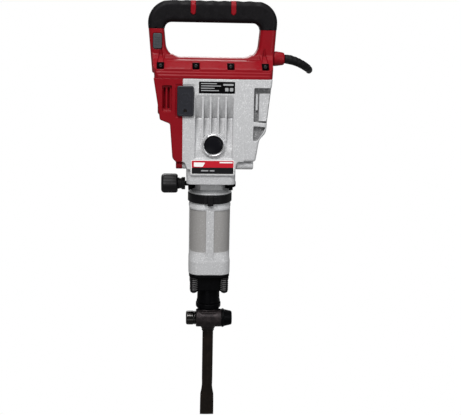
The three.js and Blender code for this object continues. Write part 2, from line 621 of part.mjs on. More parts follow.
function retainerParts() {
  const at = [0, retainer.y, retainer.z];
  const column = turned([[0, retainer.bottom], [16, retainer.bottom], [19, -638], [21, -603],
    [retainer.collarR, -598], [retainer.collarR, cover.bottom - GAP],
    [0, cover.bottom - GAP]], 'Z');
  const tube = rod(retainer.r, retainer.x0, retainer.x1, 'X', at, 32);
  const socket = rod(19.6, -592, cover.bottom + 10, 'Z', [0, 0, 0], 18);
  const bore = rod(chisel.shankR + 0.4, retainer.bottom - 5, -580, 'Z', [0, 0, 0], 18);
  const pinBore = rod(7.4, -60, 60, 'X', at, 24);
  const cupBore = rod(11.4, -60, -15, 'X', at, 24);
  add('retainer_body', 'darkSteel', cut(join(column, tube), bore, socket, pinBore, cupBore));
  add('retainer_cap', 'blackPlastic', cut(turned([[0, retainer.x1 + GAP], [19.3, retainer.x1 + GAP],
    [19.3, 30], [13.8, 48.3], [0, 48.3]], 'X', at), pinBore.intersect(box(0, 34, -90, 90, -700, 0))));
  const group = groupAt(...at);
  add('retainer_spring', 'steel', ring(7.4, 11, -24, -19, 'X', [0, 0, 0], 14), group);
  const pin = rod(7, -30, 24, 'X', [0, 0, 0], 14);
  const flat = box(-15, 15, -10, -1, -10, 10);
  const knurl = turned([[0, -46.3], [12.8, -46.3], [14.3, -44.5], [14.3, retainer.x0 - GAP - 8],
    [13, retainer.x0 - GAP], [0, retainer.x0 - GAP]], 'X', [0, 0, 0], 18);
  add('retainer_pin', 'steel', join(cut(pin, flat), knurl), group);
}

function chiselPart() {
  const shank = rod(chisel.shankR, chisel.shoulder, chisel.top, 'Z', [0, 0, 0], 18);
  const notch = box(-20, 20, -20, -9.4, -645, retainer.z + 8);
  const half = chisel.across / 2;
  const corner = half / Math.cos(Math.PI / 6);
  const hexagon = (h, c) => [[h, c / 2], [0, c], [-h, c / 2], [-h, -c / 2], [0, -c], [h, -c / 2]];
  const body = slabZ(hexagon(half - 0.4, corner - 0.5), chisel.bladeTop - 20, chisel.shoulder + 1, 0);
  const front = slabY([
    [-half - 1, chisel.bladeTop + 6],
    [-10.2, chisel.bladeTop],
    [-14.3, chisel.bladeTop - 20],
    [-14.5, chisel.tip],
    [14.5, chisel.tip],
    [14.3, chisel.bladeTop - 20],
    [10.2, chisel.bladeTop],
    [half + 1, chisel.bladeTop + 6],
  ], -20, 20, 0);
  const side = slabX([
    [-corner, chisel.bladeTop + 6],
    [-1.6, chisel.tip],
    [1.6, chisel.tip],
    [corner, chisel.bladeTop + 6],
  ], -20, 20, 0);
  const blade = front.intersect(side);
  const bar = cut(body, box(-30, 30, -30, 30, -900, chisel.bladeTop + 3));
  add('chisel', 'darkSteel', join(cut(shank, notch), bar, blade));
}

// ---- Side handle -----------------------------------------------------------------------------
function sideHandle() {
  const collar = ring(clamp.inner, clamp.outer, clamp.z0, clamp.z1, 'Z', [0, 0, 0], 24);
  const mouth = box(-33, 33.5, -60, -18, -400, -300);
  const ears = [
    box(-clamp.armIn + GAP, -clamp.inner - 1.5, -38, 8, clamp.z0, clamp.z1),
    box(clamp.inner + 1.5, clamp.armIn - GAP, -38, 8, clamp.z0, clamp.z1),
  ];
  const neckClear = rod(clamp.inner, -400, -300, 'Z', [0, 0, 0], 24);
  const eye = rod(5.4, -70, 70, 'X', [0, 0, pivotZ], 10);
  add('handle_clamp', 'blackPlastic', cut(join(collar, ...ears), mouth, neckClear, eye));

  const swing = groupAt(0, 0, pivotZ);
  const arm = slabX([
    [-8, 7.2, 7], [62, 7.2, 3], [104, 49, 3], [133, 70, 3],
    [141, 60, 3], [110, 36, 3], [68, -7.2, 3], [-8, -7.2, 7],
  ], clamp.armIn, clamp.armOut);
  const eyeBolt = rod(5.4, -70, 70, 'X', [0, 0, 0], 10);
  const arms = cut(join(arm, arm.mirror([1, 0, 0])), eyeBolt);
  const gripAt = [0, 136, 66];
  const bar = rod(5, -clamp.armOut, clamp.armOut, 'X', gripAt, 20);
  add('side_handle_frame', 'blackPlastic', join(arms, bar), swing);
  add('side_grip', 'rubber', cut(turned([
    [0, -clamp.armIn + GAP], [17, -clamp.armIn + GAP], [17, -34], [15, -30], [16.5, 0], [15, 30],
    [17, 34], [17, clamp.armIn - GAP], [0, clamp.armIn - GAP],
  ], 'X', gripAt, 24), rod(5 + GAP, -70, 70, 'X', gripAt, 20)), swing);
  add('clamp_bolt', 'steel', join(rod(5, clamp.inner + 2.5, 52, 'X', [0, 0, 0], 10),
    rod(8.4, clamp.armOut + GAP, 54, 'X', [0, 0, 0], 6)), hammer, [0, 0, pivotZ]);
  add('clamp_knob', 'blackPlastic', knobBody(), hammer, [0, 0, pivotZ]);
}

// A six-lobed knob on its threaded stem.
function knobBody() {
  const lobes = new THREE.Shape();
  const count = 24;
  for (let i = 0; i < count; i += 1) {
    const angle = (i / count) * 2 * Math.PI;
    const r = knob.r - 1.4 + 1.4 * Math.cos(6 * angle);
    const point = [r * Math.cos(angle), r * Math.sin(angle)];
    if (i === 0) lobes.moveTo(...point);
    else lobes.lineTo(...point);
  }
  lobes.closePath();
  const head = slab(lobes, 'alongX', knob.x1, knob.x0, 3);
  const collar = turned([[0, knob.x0 - 2], [knob.neckR - 1, knob.x0 - 2], [knob.neckR - 1, -57],
    [knob.neckR, -55], [knob.neckR, knob.neckX], [0, knob.neckX]], 'X', [0, 0, 0], 14);
  const stem = rod(5, -60, -clamp.inner - 2.5, 'X', [0, 0, 0], 10);
  return join(head, collar, stem);
}

// ---- Cord: gland, guard, lead, stored coil, tie and plug ---------------------------------------
// The lead's route after the guard, behind the handle to the top of the coil.
const guardRoute = [
  [143.4, 0, -88], [152, 0, -88.5], [163, 1, -91.6], [174, 4, -96], [184, 10, -101.2],
  [192, 20, -106.2], [197.5, 33, -110.4], [199, 46, -113],
];
const leadRoute = [
  [199.3, 48.2, -113.3], [199, 58, -113.6], [194, 70, -110.5], [185, 78, -105.5],
  [173, 82.5, -101], [160, 84, -98.3], [147, 84, -96.6], [133, 84, -96.8], [118, 84, -99.5],
  [100, 84, -105.5], [82, 84, -112], [65, 84, -117],
];

function tube(route, radiusAt, sides, steps) {
  const path = new THREE.CatmullRomCurve3(route.map((p) => vector(...p)));
  const shape = new THREE.Shape();
  for (let i = 0; i < sides; i += 1) {
    const angle = (i / sides) * 2 * Math.PI;
    const point = [radiusAt * Math.cos(angle), radiusAt * Math.sin(angle)];
    if (i === 0) shape.moveTo(...point);
    else shape.lineTo(...point);
  }
  shape.closePath();
  return solid(new THREE.ExtrudeGeometry(shape, { steps, bevelEnabled: false, extrudePath: path }));
}

function cordParts() {
  const boot = turned([[0, 105], [gland.r0 - 3, 105], [gland.r0 - 3, 124.3], [gland.r0, 124.6],
    [gland.r1, gland.x1], [0, gland.x1]], 'X', [0, 0, gland.z], 14);
  add('cord_gland', 'redShell', boot);
  add('cord_guard', 'rubber', tube(guardRoute, guardR, 12, 14));
  add('cord_lead', 'rubber', tube(leadRoute, cordR, 8, 16));
  const section = [];
  const sides = 10;
  for (let i = 0; i <= sides; i += 1) {
    const angle = (i / sides) * 2 * Math.PI;
    section.push([coil.meanR + coil.thickR * Math.cos(angle), coil.thickR * Math.sin(angle)]);
  }
  add('cord_coil', 'rubber', turned(section, 'Y', [coil.x, coil.y, coil.z], 18));
  const pins = [-9.5, 9.5].map((x) => rod(2.4, -56, -38, 'Z', [x, 0, 0], 6));
  const plugBody = turned([[0, -39], [17, -39], [19, -36], [19, -22], [13, -14], [7.5, -11],
    [6, 0], [0, 0]], 'Z', [0, 0, 0], 14);
  add('cord_plug', 'rubber', join(plugBody, ...pins), hammer, [plug.x, plug.y, plug.top]);
}

handleShells();
gripParts();
screws();
switchParts();
bodyParts();
motorParts();
crankParts();
strikingParts();
barrelParts();
frontParts();
retainerParts();
chiselPart();
sideHandle();
cordParts();

export default hammer;
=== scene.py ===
"""Looks of an electric demolition hammer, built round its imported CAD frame. Lengths are in millimetres."""
import math

import bmesh
import bpy
from mathutils import Matrix, Vector


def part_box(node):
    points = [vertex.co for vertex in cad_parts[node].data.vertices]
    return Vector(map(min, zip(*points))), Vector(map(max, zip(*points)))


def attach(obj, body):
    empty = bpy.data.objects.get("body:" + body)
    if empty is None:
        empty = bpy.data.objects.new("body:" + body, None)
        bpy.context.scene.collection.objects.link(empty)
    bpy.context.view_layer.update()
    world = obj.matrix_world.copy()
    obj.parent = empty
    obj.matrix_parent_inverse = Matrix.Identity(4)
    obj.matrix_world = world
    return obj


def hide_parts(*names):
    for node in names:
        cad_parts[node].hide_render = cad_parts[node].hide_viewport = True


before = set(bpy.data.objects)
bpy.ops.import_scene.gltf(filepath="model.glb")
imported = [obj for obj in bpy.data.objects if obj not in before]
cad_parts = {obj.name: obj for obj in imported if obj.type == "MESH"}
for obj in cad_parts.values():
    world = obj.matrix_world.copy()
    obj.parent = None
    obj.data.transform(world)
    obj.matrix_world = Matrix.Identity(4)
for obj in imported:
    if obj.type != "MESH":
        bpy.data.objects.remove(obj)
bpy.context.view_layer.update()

MM = 0.001
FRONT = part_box("crank_case")[0][1] / MM
REAR = FRONT + 128
SEAM_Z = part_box("grip_cover")[0][2] / MM
HANDLE_FOOT = -124.4

# The camera's angles in degrees, and its aim and distance in millimetres.
AZIMUTH, ELEVATION, ROLL = -3.3, 12.5, 1.157
AIM, DISTANCE, LENS = (42.6, 0, -389.2), 1834.5, 70.28

# Each light's watts, place and size in metres, and colour.
WHITE = (1, 1, 1)
LIGHTS = {
    "key": (61, (-0.5, -1.7, 1.5), (0.9, 0.9), WHITE),
    "fill": (13, (1.3, -1.7, 0.2), (0.7, 1.5), (0.96, 0.98, 1)),
    "top": (15, (0, -0.2, 1.5), (1.2, 0.8), WHITE),
    "low": (3, (-0.4, -1.8, -1.2), (1.0, 0.6), WHITE),
    "rear": (22, (-0.3, 1.9, 0.7), (1.4, 1.2), WHITE),
}
LIGHT_AIM, AMBIENT = (0, 0, -0.35), 0.3


# ---- Camera and light --------------------------------------------------------------------------
def link(obj):
    bpy.context.collection.objects.link(obj)
    return obj


def add_camera():
    turns = ((AZIMUTH, "Z"), (90 - ELEVATION, "X"), (ROLL, "Z"))
    swing, tilt, roll = (Matrix.Rotation(math.radians(angle), 4, axis) for angle, axis in turns)
    data = bpy.data.cameras.new("camera")
    data.lens, data.sensor_width, data.sensor_fit = LENS, 36, "HORIZONTAL"
    data.clip_start, data.clip_end = 0.05, 50
    camera = link(bpy.data.objects.new("camera", data))
    camera.matrix_world = swing @ tilt @ roll
    camera.matrix_world.translation = (Vector(AIM) + swing @ tilt @ Vector((0, 0, DISTANCE))) * MM
    bpy.context.scene.camera = camera


def add_light(name, watts, spot, size, color):
    data = bpy.data.lights.new(name, "AREA")
    data.shape, data.size, data.size_y = "RECTANGLE", size[0], size[1]
    data.energy, data.color = watts, color
    light = link(bpy.data.objects.new(name, data))
    light.location = spot
    light.rotation_euler = (Vector(LIGHT_AIM) - Vector(spot)).to_track_quat("-Z", "Y").to_euler()


def add_studio():
    """The lights, and a world that the camera sees as white but that lights the scene more dimly."""
    for name, settings in LIGHTS.items():
        add_light(name, *settings)
    world = bpy.data.worlds.new("studio")
    world.use_nodes = True
    nodes, links = world.node_tree.nodes, world.node_tree.links
    background = nodes["Background"]
    background.inputs["Color"].default_value = (1, 1, 1, 1)
    white = nodes.new("ShaderNodeMapRange")
    white.inputs["To Min"].default_value = AMBIENT
    white.inputs["To Max"].default_value = 1.0
    links.new(nodes.new("ShaderNodeLightPath").outputs["Is Camera Ray"], white.inputs["Value"])
    links.new(white.outputs["Result"], background.inputs["Strength"])
    bpy.context.scene.world = world
    view = bpy.context.scene.view_settings
    view.view_transform, view.look = "Standard", "None"


# ---- Materials ---------------------------------------------------------------------------------
class Surface:
    """One procedural material: its base colour varies with noise, and layers of bump lie on it."""

    def __init__(self, name, color, roughness, metallic=0.0, shine=0.5):
        self.material = bpy.data.materials.new(name)
        self.material.use_nodes = True
        self.nodes = self.material.node_tree.nodes
        self.links = self.material.node_tree.links
        self.shader = self.nodes["Principled BSDF"]
        self.color = (*color, 1)
        for key, value in (("Base Color", self.color), ("Roughness", roughness), ("Metallic", metallic),
                           ("Specular IOR Level", shine)):
            self.shader.inputs[key].default_value = value
        self.where = self.add("TexCoord").outputs["Object"]
        self.bump = None

    def add(self, kind, values=()):
        """A new shader node, with some of its inputs set."""
        node = self.nodes.new("ShaderNode" + kind)
        for key, value in dict(values).items():
            node.inputs[key].default_value = value
        return node

    def noise(self, per_metre, detail=3.0, stretch=(1, 1, 1)):
        mapping = self.add("Mapping", {"Scale": stretch})
        self.links.new(self.where, mapping.inputs["Vector"])
        node = self.add("TexNoise", {"Scale": per_metre, "Detail": detail})
        self.links.new(mapping.outputs["Vector"], node.inputs["Vector"])
        return node.outputs["Fac"]

    def ramp(self, value, low, high, dark=0.0, light=1.0):
        node = self.add("MapRange", {"From Min": low, "From Max": high, "To Min": dark, "To Max": light})
        self.links.new(value, node.inputs["Value"])
        return node.outputs["Result"]

    def tint(self, factor, color):
        """Mixes a colour over what is there, by a factor."""
        socket = self.shader.inputs["Base Color"]
        mix = self.add("Mix")
        mix.data_type = "RGBA"
        if socket.is_linked:
            self.links.new(socket.links[0].from_socket, mix.inputs["A"])
        else:
            mix.inputs["A"].default_value = self.color
        mix.inputs["B"].default_value = (*color, 1)
        self.links.new(factor, mix.inputs["Factor"])
        self.links.new(mix.outputs["Result"], socket)
        return self

    def mottle(self, grain, low, high, amount, color):
        """Mixes a colour over in patches, by noise of that grain."""
        return self.tint(self.ramp(self.noise(*grain), low, high, 0.0, amount), color)

    def rough(self, factor, low, high):
        self.links.new(self.ramp(factor, 0.35, 0.65, low, high), self.shader.inputs["Roughness"])
        return self

    def relief(self, height, strength, depth):
        """Bumps of a depth in millimetres."""
        bump = self.add("Bump", {"Strength": strength, "Distance": depth * MM})
        self.links.new(height, bump.inputs["Height"])
        if self.bump:
            self.links.new(self.bump, bump.inputs["Normal"])
        self.bump = bump.outputs["Normal"]
        self.links.new(self.bump, self.shader.inputs["Normal"])
        return self

    def edges(self, color, amount, spread=1.2):
        """Wear or dust where the surface turns: a bevelled normal that differs from the true one."""
        bevel = self.add("Bevel", {"Radius": spread * MM})
        bevel.samples = 4
        geometry = self.add("NewGeometry")
        dot = self.add("VectorMath")
        dot.operation = "DOT_PRODUCT"
        self.links.new(bevel.outputs["Normal"], dot.inputs[0])
        self.links.new(geometry.outputs["Normal"], dot.inputs[1])
        turned_away = self.ramp(dot.outputs["Value"], 1.0, 0.9, 0.0, 1.0)
        patchy = self.ramp(self.noise(160, 4), 0.42, 0.6, 0.0, amount)
        product = self.add("Math")
        product.operation = "MULTIPLY"
        self.links.new(turned_away, product.inputs[0])
        self.links.new(patchy, product.inputs[1])
        return self.tint(product.outputs["Value"], color)


def red_plastic():
    s = Surface("red_plastic", (0.19, 0.0024, 0.0065), 0.4, shine=0.13)
    s.mottle((9, 2), 0.35, 0.7, 0.4, (0.13, 0.0016, 0.0045))
    s.mottle((420, 3), 0.62, 0.8, 0.25, (0.25, 0.01, 0.02))
    s.rough(s.noise(40, 4), 0.32, 0.46)
    s.relief(s.noise(1500, 2), 0.25, 0.12)
    return s.edges((0.24, 0.03, 0.045), 0.35).material


def silver_casting(name="silver_casting", color=(0.445, 0.446, 0.453), speckle=0.5):
    s = Surface(name, color, 0.5, metallic=0.08, shine=0.4)
    s.mottle((620, 2), 0.46, 0.62, speckle, tuple(c * 0.6 for c in color))
    s.mottle((450, 2), 0.56, 0.7, speckle, (0.85, 0.85, 0.85))
    s.mottle((12, 4), 0.4, 0.75, 0.25, tuple(c * 0.82 for c in color))
    s.rough(s.noise(300, 4), 0.42, 0.6)
    s.relief(s.noise(900, 4), 0.35, 0.16)
    return s.edges((0.85, 0.85, 0.85), 0.4).material


def machined_silver():
    return silver_casting("machined_alloy", (0.27, 0.262, 0.255), 0.12)


# Painted shade: a darker copy of the silver casting, given to the deep faces of the gear side's recesses
# where shade falls.
def painted_shade_casting():
    return silver_casting("painted_shade_casting", (0.16, 0.16, 0.163), 0.4)


def black_rubber(name="black_rubber", color=(0.0032, 0.0028, 0.0034), shine=0.14):
    s = Surface(name, color, 0.5, shine=shine)
    s.mottle((260, 4), 0.5, 0.75, 0.5, tuple(c * 2.4 for c in color))
    s.rough(s.noise(60, 4), 0.42, 0.62)
    s.relief(s.noise(1700, 2), 0.4, 0.15)
    return s.edges((0.02, 0.019, 0.02), 0.5).material


def black_plastic():
    s = Surface("black_plastic", (0.0011, 0.0011, 0.0014), 0.4, shine=0.04)
    s.mottle((300, 3), 0.55, 0.8, 0.4, (0.006, 0.006, 0.007))
    s.rough(s.noise(50, 4), 0.32, 0.5)
    s.relief(s.noise(1300, 2), 0.3, 0.12)
    return s.edges((0.02, 0.02, 0.022), 0.5).material


def matt_plastic(name, color, flecks, pale_edge, roughness):
    s = Surface(name, color, roughness, shine=0.3)
    s.mottle((200, 3), 0.5, 0.8, 0.4, flecks)
    s.relief(s.noise(1300, 2), 0.3, 0.12)
    return s.edges(pale_edge, 0.4).material


def slate_plastic():
    flecks, pale_edge = (0.019, 0.02, 0.026), (0.05, 0.05, 0.06)
    return matt_plastic("slate_plastic", (0.0105, 0.011, 0.0155), flecks, pale_edge, 0.42)


def grey_plastic():
    flecks, pale_edge = (0.05, 0.054, 0.06), (0.08, 0.085, 0.09)
    return matt_plastic("grey_plastic", (0.034, 0.038, 0.043), flecks, pale_edge, 0.5)


def forged_steel():
    s = Surface("forged_steel", (0.007, 0.0045, 0.003), 0.5, metallic=0.3, shine=0.2)
    s.mottle((60, 5), 0.45, 0.7, 0.7, (0.013, 0.0075, 0.005))
    s.mottle((400, 4), 0.6, 0.78, 0.5, (0.03, 0.02, 0.015))
    s.rough(s.noise(120, 5), 0.38, 0.66)
    s.relief(s.noise(500, 5), 0.4, 0.25)
    return s.edges((0.06, 0.045, 0.04), 0.7, 0.8).material


def cast_iron():
    s = Surface("cast_iron", (0.014, 0.011, 0.012), 0.42, metallic=0.6, shine=0.3)
    s.mottle((90, 5), 0.45, 0.7, 0.7, (0.034, 0.026, 0.027))
    s.mottle((500, 4), 0.62, 0.8, 0.6, (0.12, 0.1, 0.1))
    s.rough(s.noise(160, 5), 0.32, 0.56)
    s.relief(s.noise(420, 5), 0.45, 0.3)
    return s.edges((0.12, 0.1, 0.1), 0.7).material


def turned_steel(name="turned_steel", color=(0.42, 0.42, 0.43), roughness=0.28, stretch=(1, 1, 1)):
    """Bright or dark bare metal; the stretch draws its marks out across an axis."""
    s = Surface(name, color, roughness, metallic=1.0)
    s.mottle((200, 3, stretch), 0.4, 0.65, 0.4, tuple(c * 0.6 for c in color))
    s.rough(s.noise(90, 4, stretch), roughness * 0.8, roughness * 1.4)
    return s.relief(s.noise(400, 3, stretch), 0.15, 0.04).material


def gauge_glass():
    s = Surface("gauge_glass", (0.003, 0.003, 0.0045), 0.3, shine=0.1)
    s.mottle((500, 4), 0.55, 0.75, 0.5, (0.008, 0.008, 0.011))
    return s.relief(s.noise(700, 3), 0.2, 0.08).material


# A matt colour for print, also used for the painted highlight on the ribbed bolts' fins.
def ink_and_highlight(name, color):
    s = Surface(name, color, 0.35, shine=0.2)
    s.mottle((300, 4), 0.55, 0.8, 0.25, tuple(min(1, c * 1.4 + 0.01) for c in color))
    return s.relief(s.noise(900, 2), 0.1, 0.05).material


def copper_wire():
    s = Surface("copper_wire", (0.5, 0.22, 0.09), 0.35, metallic=0.9)
    s.mottle((50, 3, (1, 30, 30)), 0.4, 0.6, 0.7, (0.2, 0.08, 0.035))
    return s.relief(s.noise(40, 2, (1, 40, 40)), 0.5, 0.3).material


# ---- Mesh building -----------------------------------------------------------------------------
PLANES = {
    "X": lambda u, v, w: (w, u, v),
    "Y": lambda u, v, w: (u, w, v),
    "Z": lambda u, v, w: (u, v, w),
}


def mesh_object(points, faces):
    mesh = bpy.data.meshes.new("piece")
    mesh.from_pydata([Vector(p) * MM for p in points], [], faces)
    shape = bmesh.new()
    shape.from_mesh(mesh)
    bmesh.ops.recalc_face_normals(shape, faces=shape.faces)
    shape.to_mesh(mesh)
    shape.free()
    return link(bpy.data.objects.new("piece", mesh))


def rounded(corners, steps=6):
    """The outline through [x, y, radius] corners, as points, with an arc at each corner."""
    points = []
    for i, (x, y, *rest) in enumerate(corners):
        radius = rest[0] if rest else 0
        here = Vector((x, y))
        if radius <= 0:
            points.append(tuple(here))
            continue
        back = (Vector(corners[i - 1][:2]) - here).normalized()
        on = (Vector(corners[(i + 1) % len(corners)][:2]) - here).normalized()
        half = back.angle(on) / 2
        centre = here + (back + on).normalized() * radius / math.sin(half)
        start = here + back * radius / math.tan(half) - centre
        sweep = math.pi - 2 * half
        turn = 1 if back.x * on.y - back.y * on.x < 0 else -1
        for k in range(steps + 1):
            angle = turn * sweep * k / steps
            spoke = Matrix.Rotation(angle, 2) @ start
            points.append(tuple(centre + spoke))
    return points


def rect(x0, x1, y0, y1, radius=0.0):
    return [(x0, y0, radius), (x1, y0, radius), (x1, y1, radius), (x0, y1, radius)]


def prism(corners, axis, low, high, steps=6):
    outline = rounded(corners, steps)
    stand, n = PLANES[axis], len(outline)
    points = [stand(u, v, w) for w in (low, high) for u, v in outline]
    faces = [tuple(range(n)), tuple(range(2 * n - 1, n - 1, -1))]
    faces += [(i, (i + 1) % n, n + (i + 1) % n, n + i) for i in range(n)]
    return mesh_object(points, faces)


def block(x0, x1, y0, y1, z0, z1):
    return prism(rect(x0, x1, y0, y1), "Z", z0, z1)


def turned(profile, axis="Z", at=(0, 0, 0), segments=96, closed=False):
    """A profile of (radius, place along the axis), turned about the axis and capped unless it is closed."""
    stand = PLANES[axis]
    if not closed:
        ends = [(0, profile[0][1])], [(0, profile[-1][1])]
        profile = (ends[0] if profile[0][0] else []) + list(profile) + (ends[1] if profile[-1][0] else [])
    points, rings, faces = [], [], []
    for radius, along, *_ in profile:
        count = 1 if radius < 1e-6 else segments
        rings.append(list(range(len(points), len(points) + count)))
        for k in range(count):
            angle = 2 * math.pi * k / segments
            spot = stand(radius * math.cos(angle), radius * math.sin(angle), along)
            points.append(tuple(a + b for a, b in zip(spot, at)))
    pairs = list(zip(rings, rings[1:]))
    if closed:
        pairs.append((rings[-1], rings[0]))
    for low, high in pairs:
        for k in range(segments):
            j = (k + 1) % segments
            if len(low) == 1 and len(high) > 1:
                faces.append((low[0], high[k], high[j]))
            elif len(high) == 1 and len(low) > 1:
                faces.append((low[k], low[j], high[0]))
            elif len(low) > 1:
                faces.append((low[k], low[j], high[j], high[k]))
    return mesh_object(points, faces)


def cylinder(radius, low, high, axis="Z", at=(0, 0, 0), segments=48):
    return turned([(radius, low), (radius, high)], axis, at, segments)


def lofted(rings, looped=False):
    """A skin over rings of points that all have the same count, capped unless the rings make a loop."""
    n = len(rings[0])
    points = [p for ring in rings for p in ring]
    faces = []
    count = len(rings)
    for i in range(count if looped else count - 1):
        a, b = i * n, ((i + 1) % count) * n
        faces += [(a + k, a + (k + 1) % n, b + (k + 1) % n, b + k) for k in range(n)]
    if not looped:
        faces += [tuple(range(n)), tuple(range((count - 1) * n, count * n))]
    return mesh_object(points, faces)


def settle(obj):
    """Applies the object's modifiers to its mesh."""
    depsgraph = bpy.context.evaluated_depsgraph_get()
    mesh = bpy.data.meshes.new_from_object(obj.evaluated_get(depsgraph))
    obj.modifiers.clear()
    old, obj.data = obj.data, mesh
    bpy.data.meshes.remove(old)
    return obj


def merge(objects):
    """Joins several objects' meshes into the first, without cutting them."""
    shape = bmesh.new()
    for obj in objects:
        shape.from_mesh(obj.data)
    first = objects[0]
    shape.to_mesh(first.data)
    shape.free()
    for obj in objects[1:]:
        drop(obj)
    return first


def drop(obj):
    mesh = obj.data
    bpy.data.objects.remove(obj)
    bpy.data.meshes.remove(mesh)


def combine(obj, others, operation):
    for other in others:
        modifier = obj.modifiers.new("cut", "BOOLEAN")
        modifier.operation, modifier.object, modifier.solver = operation, other, "EXACT"
        settle(obj)
        drop(other)
    return obj


def carve(obj, *cutters):
    return combine(obj, cutters, "DIFFERENCE")


def weld(obj, *others):
    return combine(obj, others, "UNION")


def overlap(obj, *others):
    return combine(obj, others, "INTERSECT")


def moulded(obj, voxel=1.1, smooth=6, keep=0.35):
    """Rounds every edge the way a casting or moulding is: remeshed finely, smoothed and thinned."""
    remesh = obj.modifiers.new("remesh", "REMESH")
    remesh.mode, remesh.voxel_size = "VOXEL", voxel * MM
    soft = obj.modifiers.new("smooth", "SMOOTH")
    soft.factor, soft.iterations = 0.5, smooth
    thin = obj.modifiers.new("thin", "DECIMATE")
    thin.ratio = keep
    return shade(settle(obj))


def bevelled(obj, width=0.6, segments=3, angle=30):
    bevel = obj.modifiers.new("bevel", "BEVEL")
    bevel.width, bevel.segments, bevel.limit_method = width * MM, segments, "ANGLE"
    bevel.angle_limit, bevel.harden_normals = math.radians(angle), False
    return shade(settle(obj))


def shade(obj):
    for polygon in obj.data.polygons:
        polygon.use_smooth = True
    modifier = obj.modifiers.new("normals", "WEIGHTED_NORMAL")
    modifier.keep_sharp = True
    return settle(obj)


def halves(obj, gap=0.15):
    """Splits an object at Y = 0 into its front and rear halves."""
    rear = link(obj.copy())
    rear.data = obj.data.copy()
    for half, side in ((obj, -1), (rear, 1)):
        shape = bmesh.new()
        shape.from_mesh(half.data)
        everything = shape.verts[:] + shape.edges[:] + shape.faces[:]
        cut = bmesh.ops.bisect_plane(shape, geom=everything, plane_co=(0, side * gap * MM, 0),
                                     plane_no=(0, -side, 0), clear_outer=True)
        rim = [e for e in cut["geom_cut"] if isinstance(e, bmesh.types.BMEdge)]
        bmesh.ops.holes_fill(shape, edges=rim)
        shape.to_mesh(half.data)
        shape.free()
    return obj, rear


def paint(obj, index, where=lambda centre: True):
    """Gives the faces whose centre passes the test another of the piece's materials."""
    for polygon in obj.data.polygons:
        if where(polygon.center / MM):
            polygon.material_index = index


def place(obj, name, material, slot, *replaces, body="root"):
    """Names a piece, gives it one material or several, and says which body it is on and what it replaces."""
    obj.name = name
    several = isinstance(material, (list, tuple))
    indices = [polygon.material_index if several else 0 for polygon in obj.data.polygons]
    obj.data.materials.clear()
    for item in material if several else [material]:
        obj.data.materials.append(item)
    obj.data.polygons.foreach_set("material_index", indices)
    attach(obj, body)
    if replaces:
        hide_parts(*replaces)
    return obj


# ---- Cord, tie and plug ------------------------------------------------------------------------
CORD_R, GUARD_R = 4.75, 8.4
COIL_X, COIL_Y, COIL_Z, COIL_INNER, COIL_PITCH = 30, 74, -184, 47, 9.9
COIL_SEATS = [(2, 0), (1, 0), (0, 0), (0, 1), (0, 2), (1, 2), (1, 1), (2, 1)]
GUARD_ROUTE = [
    (143.4, 0, -88), (152, 0, -88.5), (163, 1, -91.6), (174, 4, -96), (184, 10, -101.2),
    (192, 20, -106.2), (197.5, 33, -110.4), (199, 46, -113),
]
LEAD_ROUTE = [
    (199.3, 48.2, -113.3), (199, 58, -113.6), (194, 70, -110.5), (185, 78, -105.5), (173, 82.5, -101),
    (160, 84, -98.3), (147, 84, -96.6), (133, 84, -96.8), (118, 84, -99.5), (100, 84, -105.5), (82, 84, -112),
    (65, 81.5, -115), (50, 78, -117), (36, 75.2, -117.4),
]
TAIL_ROUTE = [(-37, 84, -186), (-39, 85.4, -196), (-41, 86.4, -206), (-42, 86.5, -214)]
CORD_START = (141, 0, -88)
PLUG_AT = (-42, 86.5, -205)


def smooth_path(points, step=3.0):
    """A Catmull-Rom line through the points, as points about a step apart."""
    pts = [Vector(p) for p in points]
    pts = [2 * pts[0] - pts[1]] + pts + [2 * pts[-1] - pts[-2]]
    line = []
    for a, b, c, d in zip(pts, pts[1:], pts[2:], pts[3:]):
        count = max(1, round((c - b).length / step))
        for k in range(count):
            t = k / count
            line.append(0.5 * (
                2 * b + (c - a) * t + (2 * a - 5 * b + 4 * c - d) * t * t
                + (3 * b - a - 3 * c + d) * t ** 3))
    line.append(pts[-2])
    return line


def coil_path():
    """Turns seated in layers out from the centre and rows to the rear, each easing to the next seat."""
    line = []
    steps = 90
    start = math.radians(98)
    for turn, (layer, row) in enumerate(COIL_SEATS):
        follow = COIL_SEATS[min(turn + 1, len(COIL_SEATS) - 1)]
        last = turn == len(COIL_SEATS) - 1
        for k in range(steps * 22 // 100 if last else steps):
            share = k / steps
            blend = max(0.0, min(1.0, (share - 0.88) / 0.12))
            blend = blend * blend * (3 - 2 * blend)
            radius = COIL_INNER + COIL_PITCH * (layer + (follow[0] - layer) * blend)
            y = COIL_Y + COIL_PITCH * (row + (follow[1] - row) * blend)
            angle = start + 2 * math.pi * share
            line.append(Vector((COIL_X + radius * math.cos(angle), y, COIL_Z + radius * math.sin(angle))))
    return line


def sweep(path, radius_at, sides=16):
    """A round tube along a path; radius_at gives its radius by the distance along it."""
    tangents = [(b - a).normalized() for a, b in zip(path, path[1:])]
    tangents.append(tangents[-1])
    normal = tangents[0].orthogonal().normalized()
    rings, gone = [], 0.0
    for i, (point, tangent) in enumerate(zip(path, tangents)):
        if i:
            gone += (point - path[i - 1]).length
            mean = (tangents[i - 1] + tangent).normalized()
            normal = (normal - mean * normal.dot(mean)).normalized()
            tangent = mean
        side = tangent.cross(normal)
        radius = radius_at(gone)
        rings.append([
            tuple(point + (normal * math.cos(a) + side * math.sin(a)) * radius)
            for a in (2 * math.pi * k / sides for k in range(sides))])
    return lofted(rings)


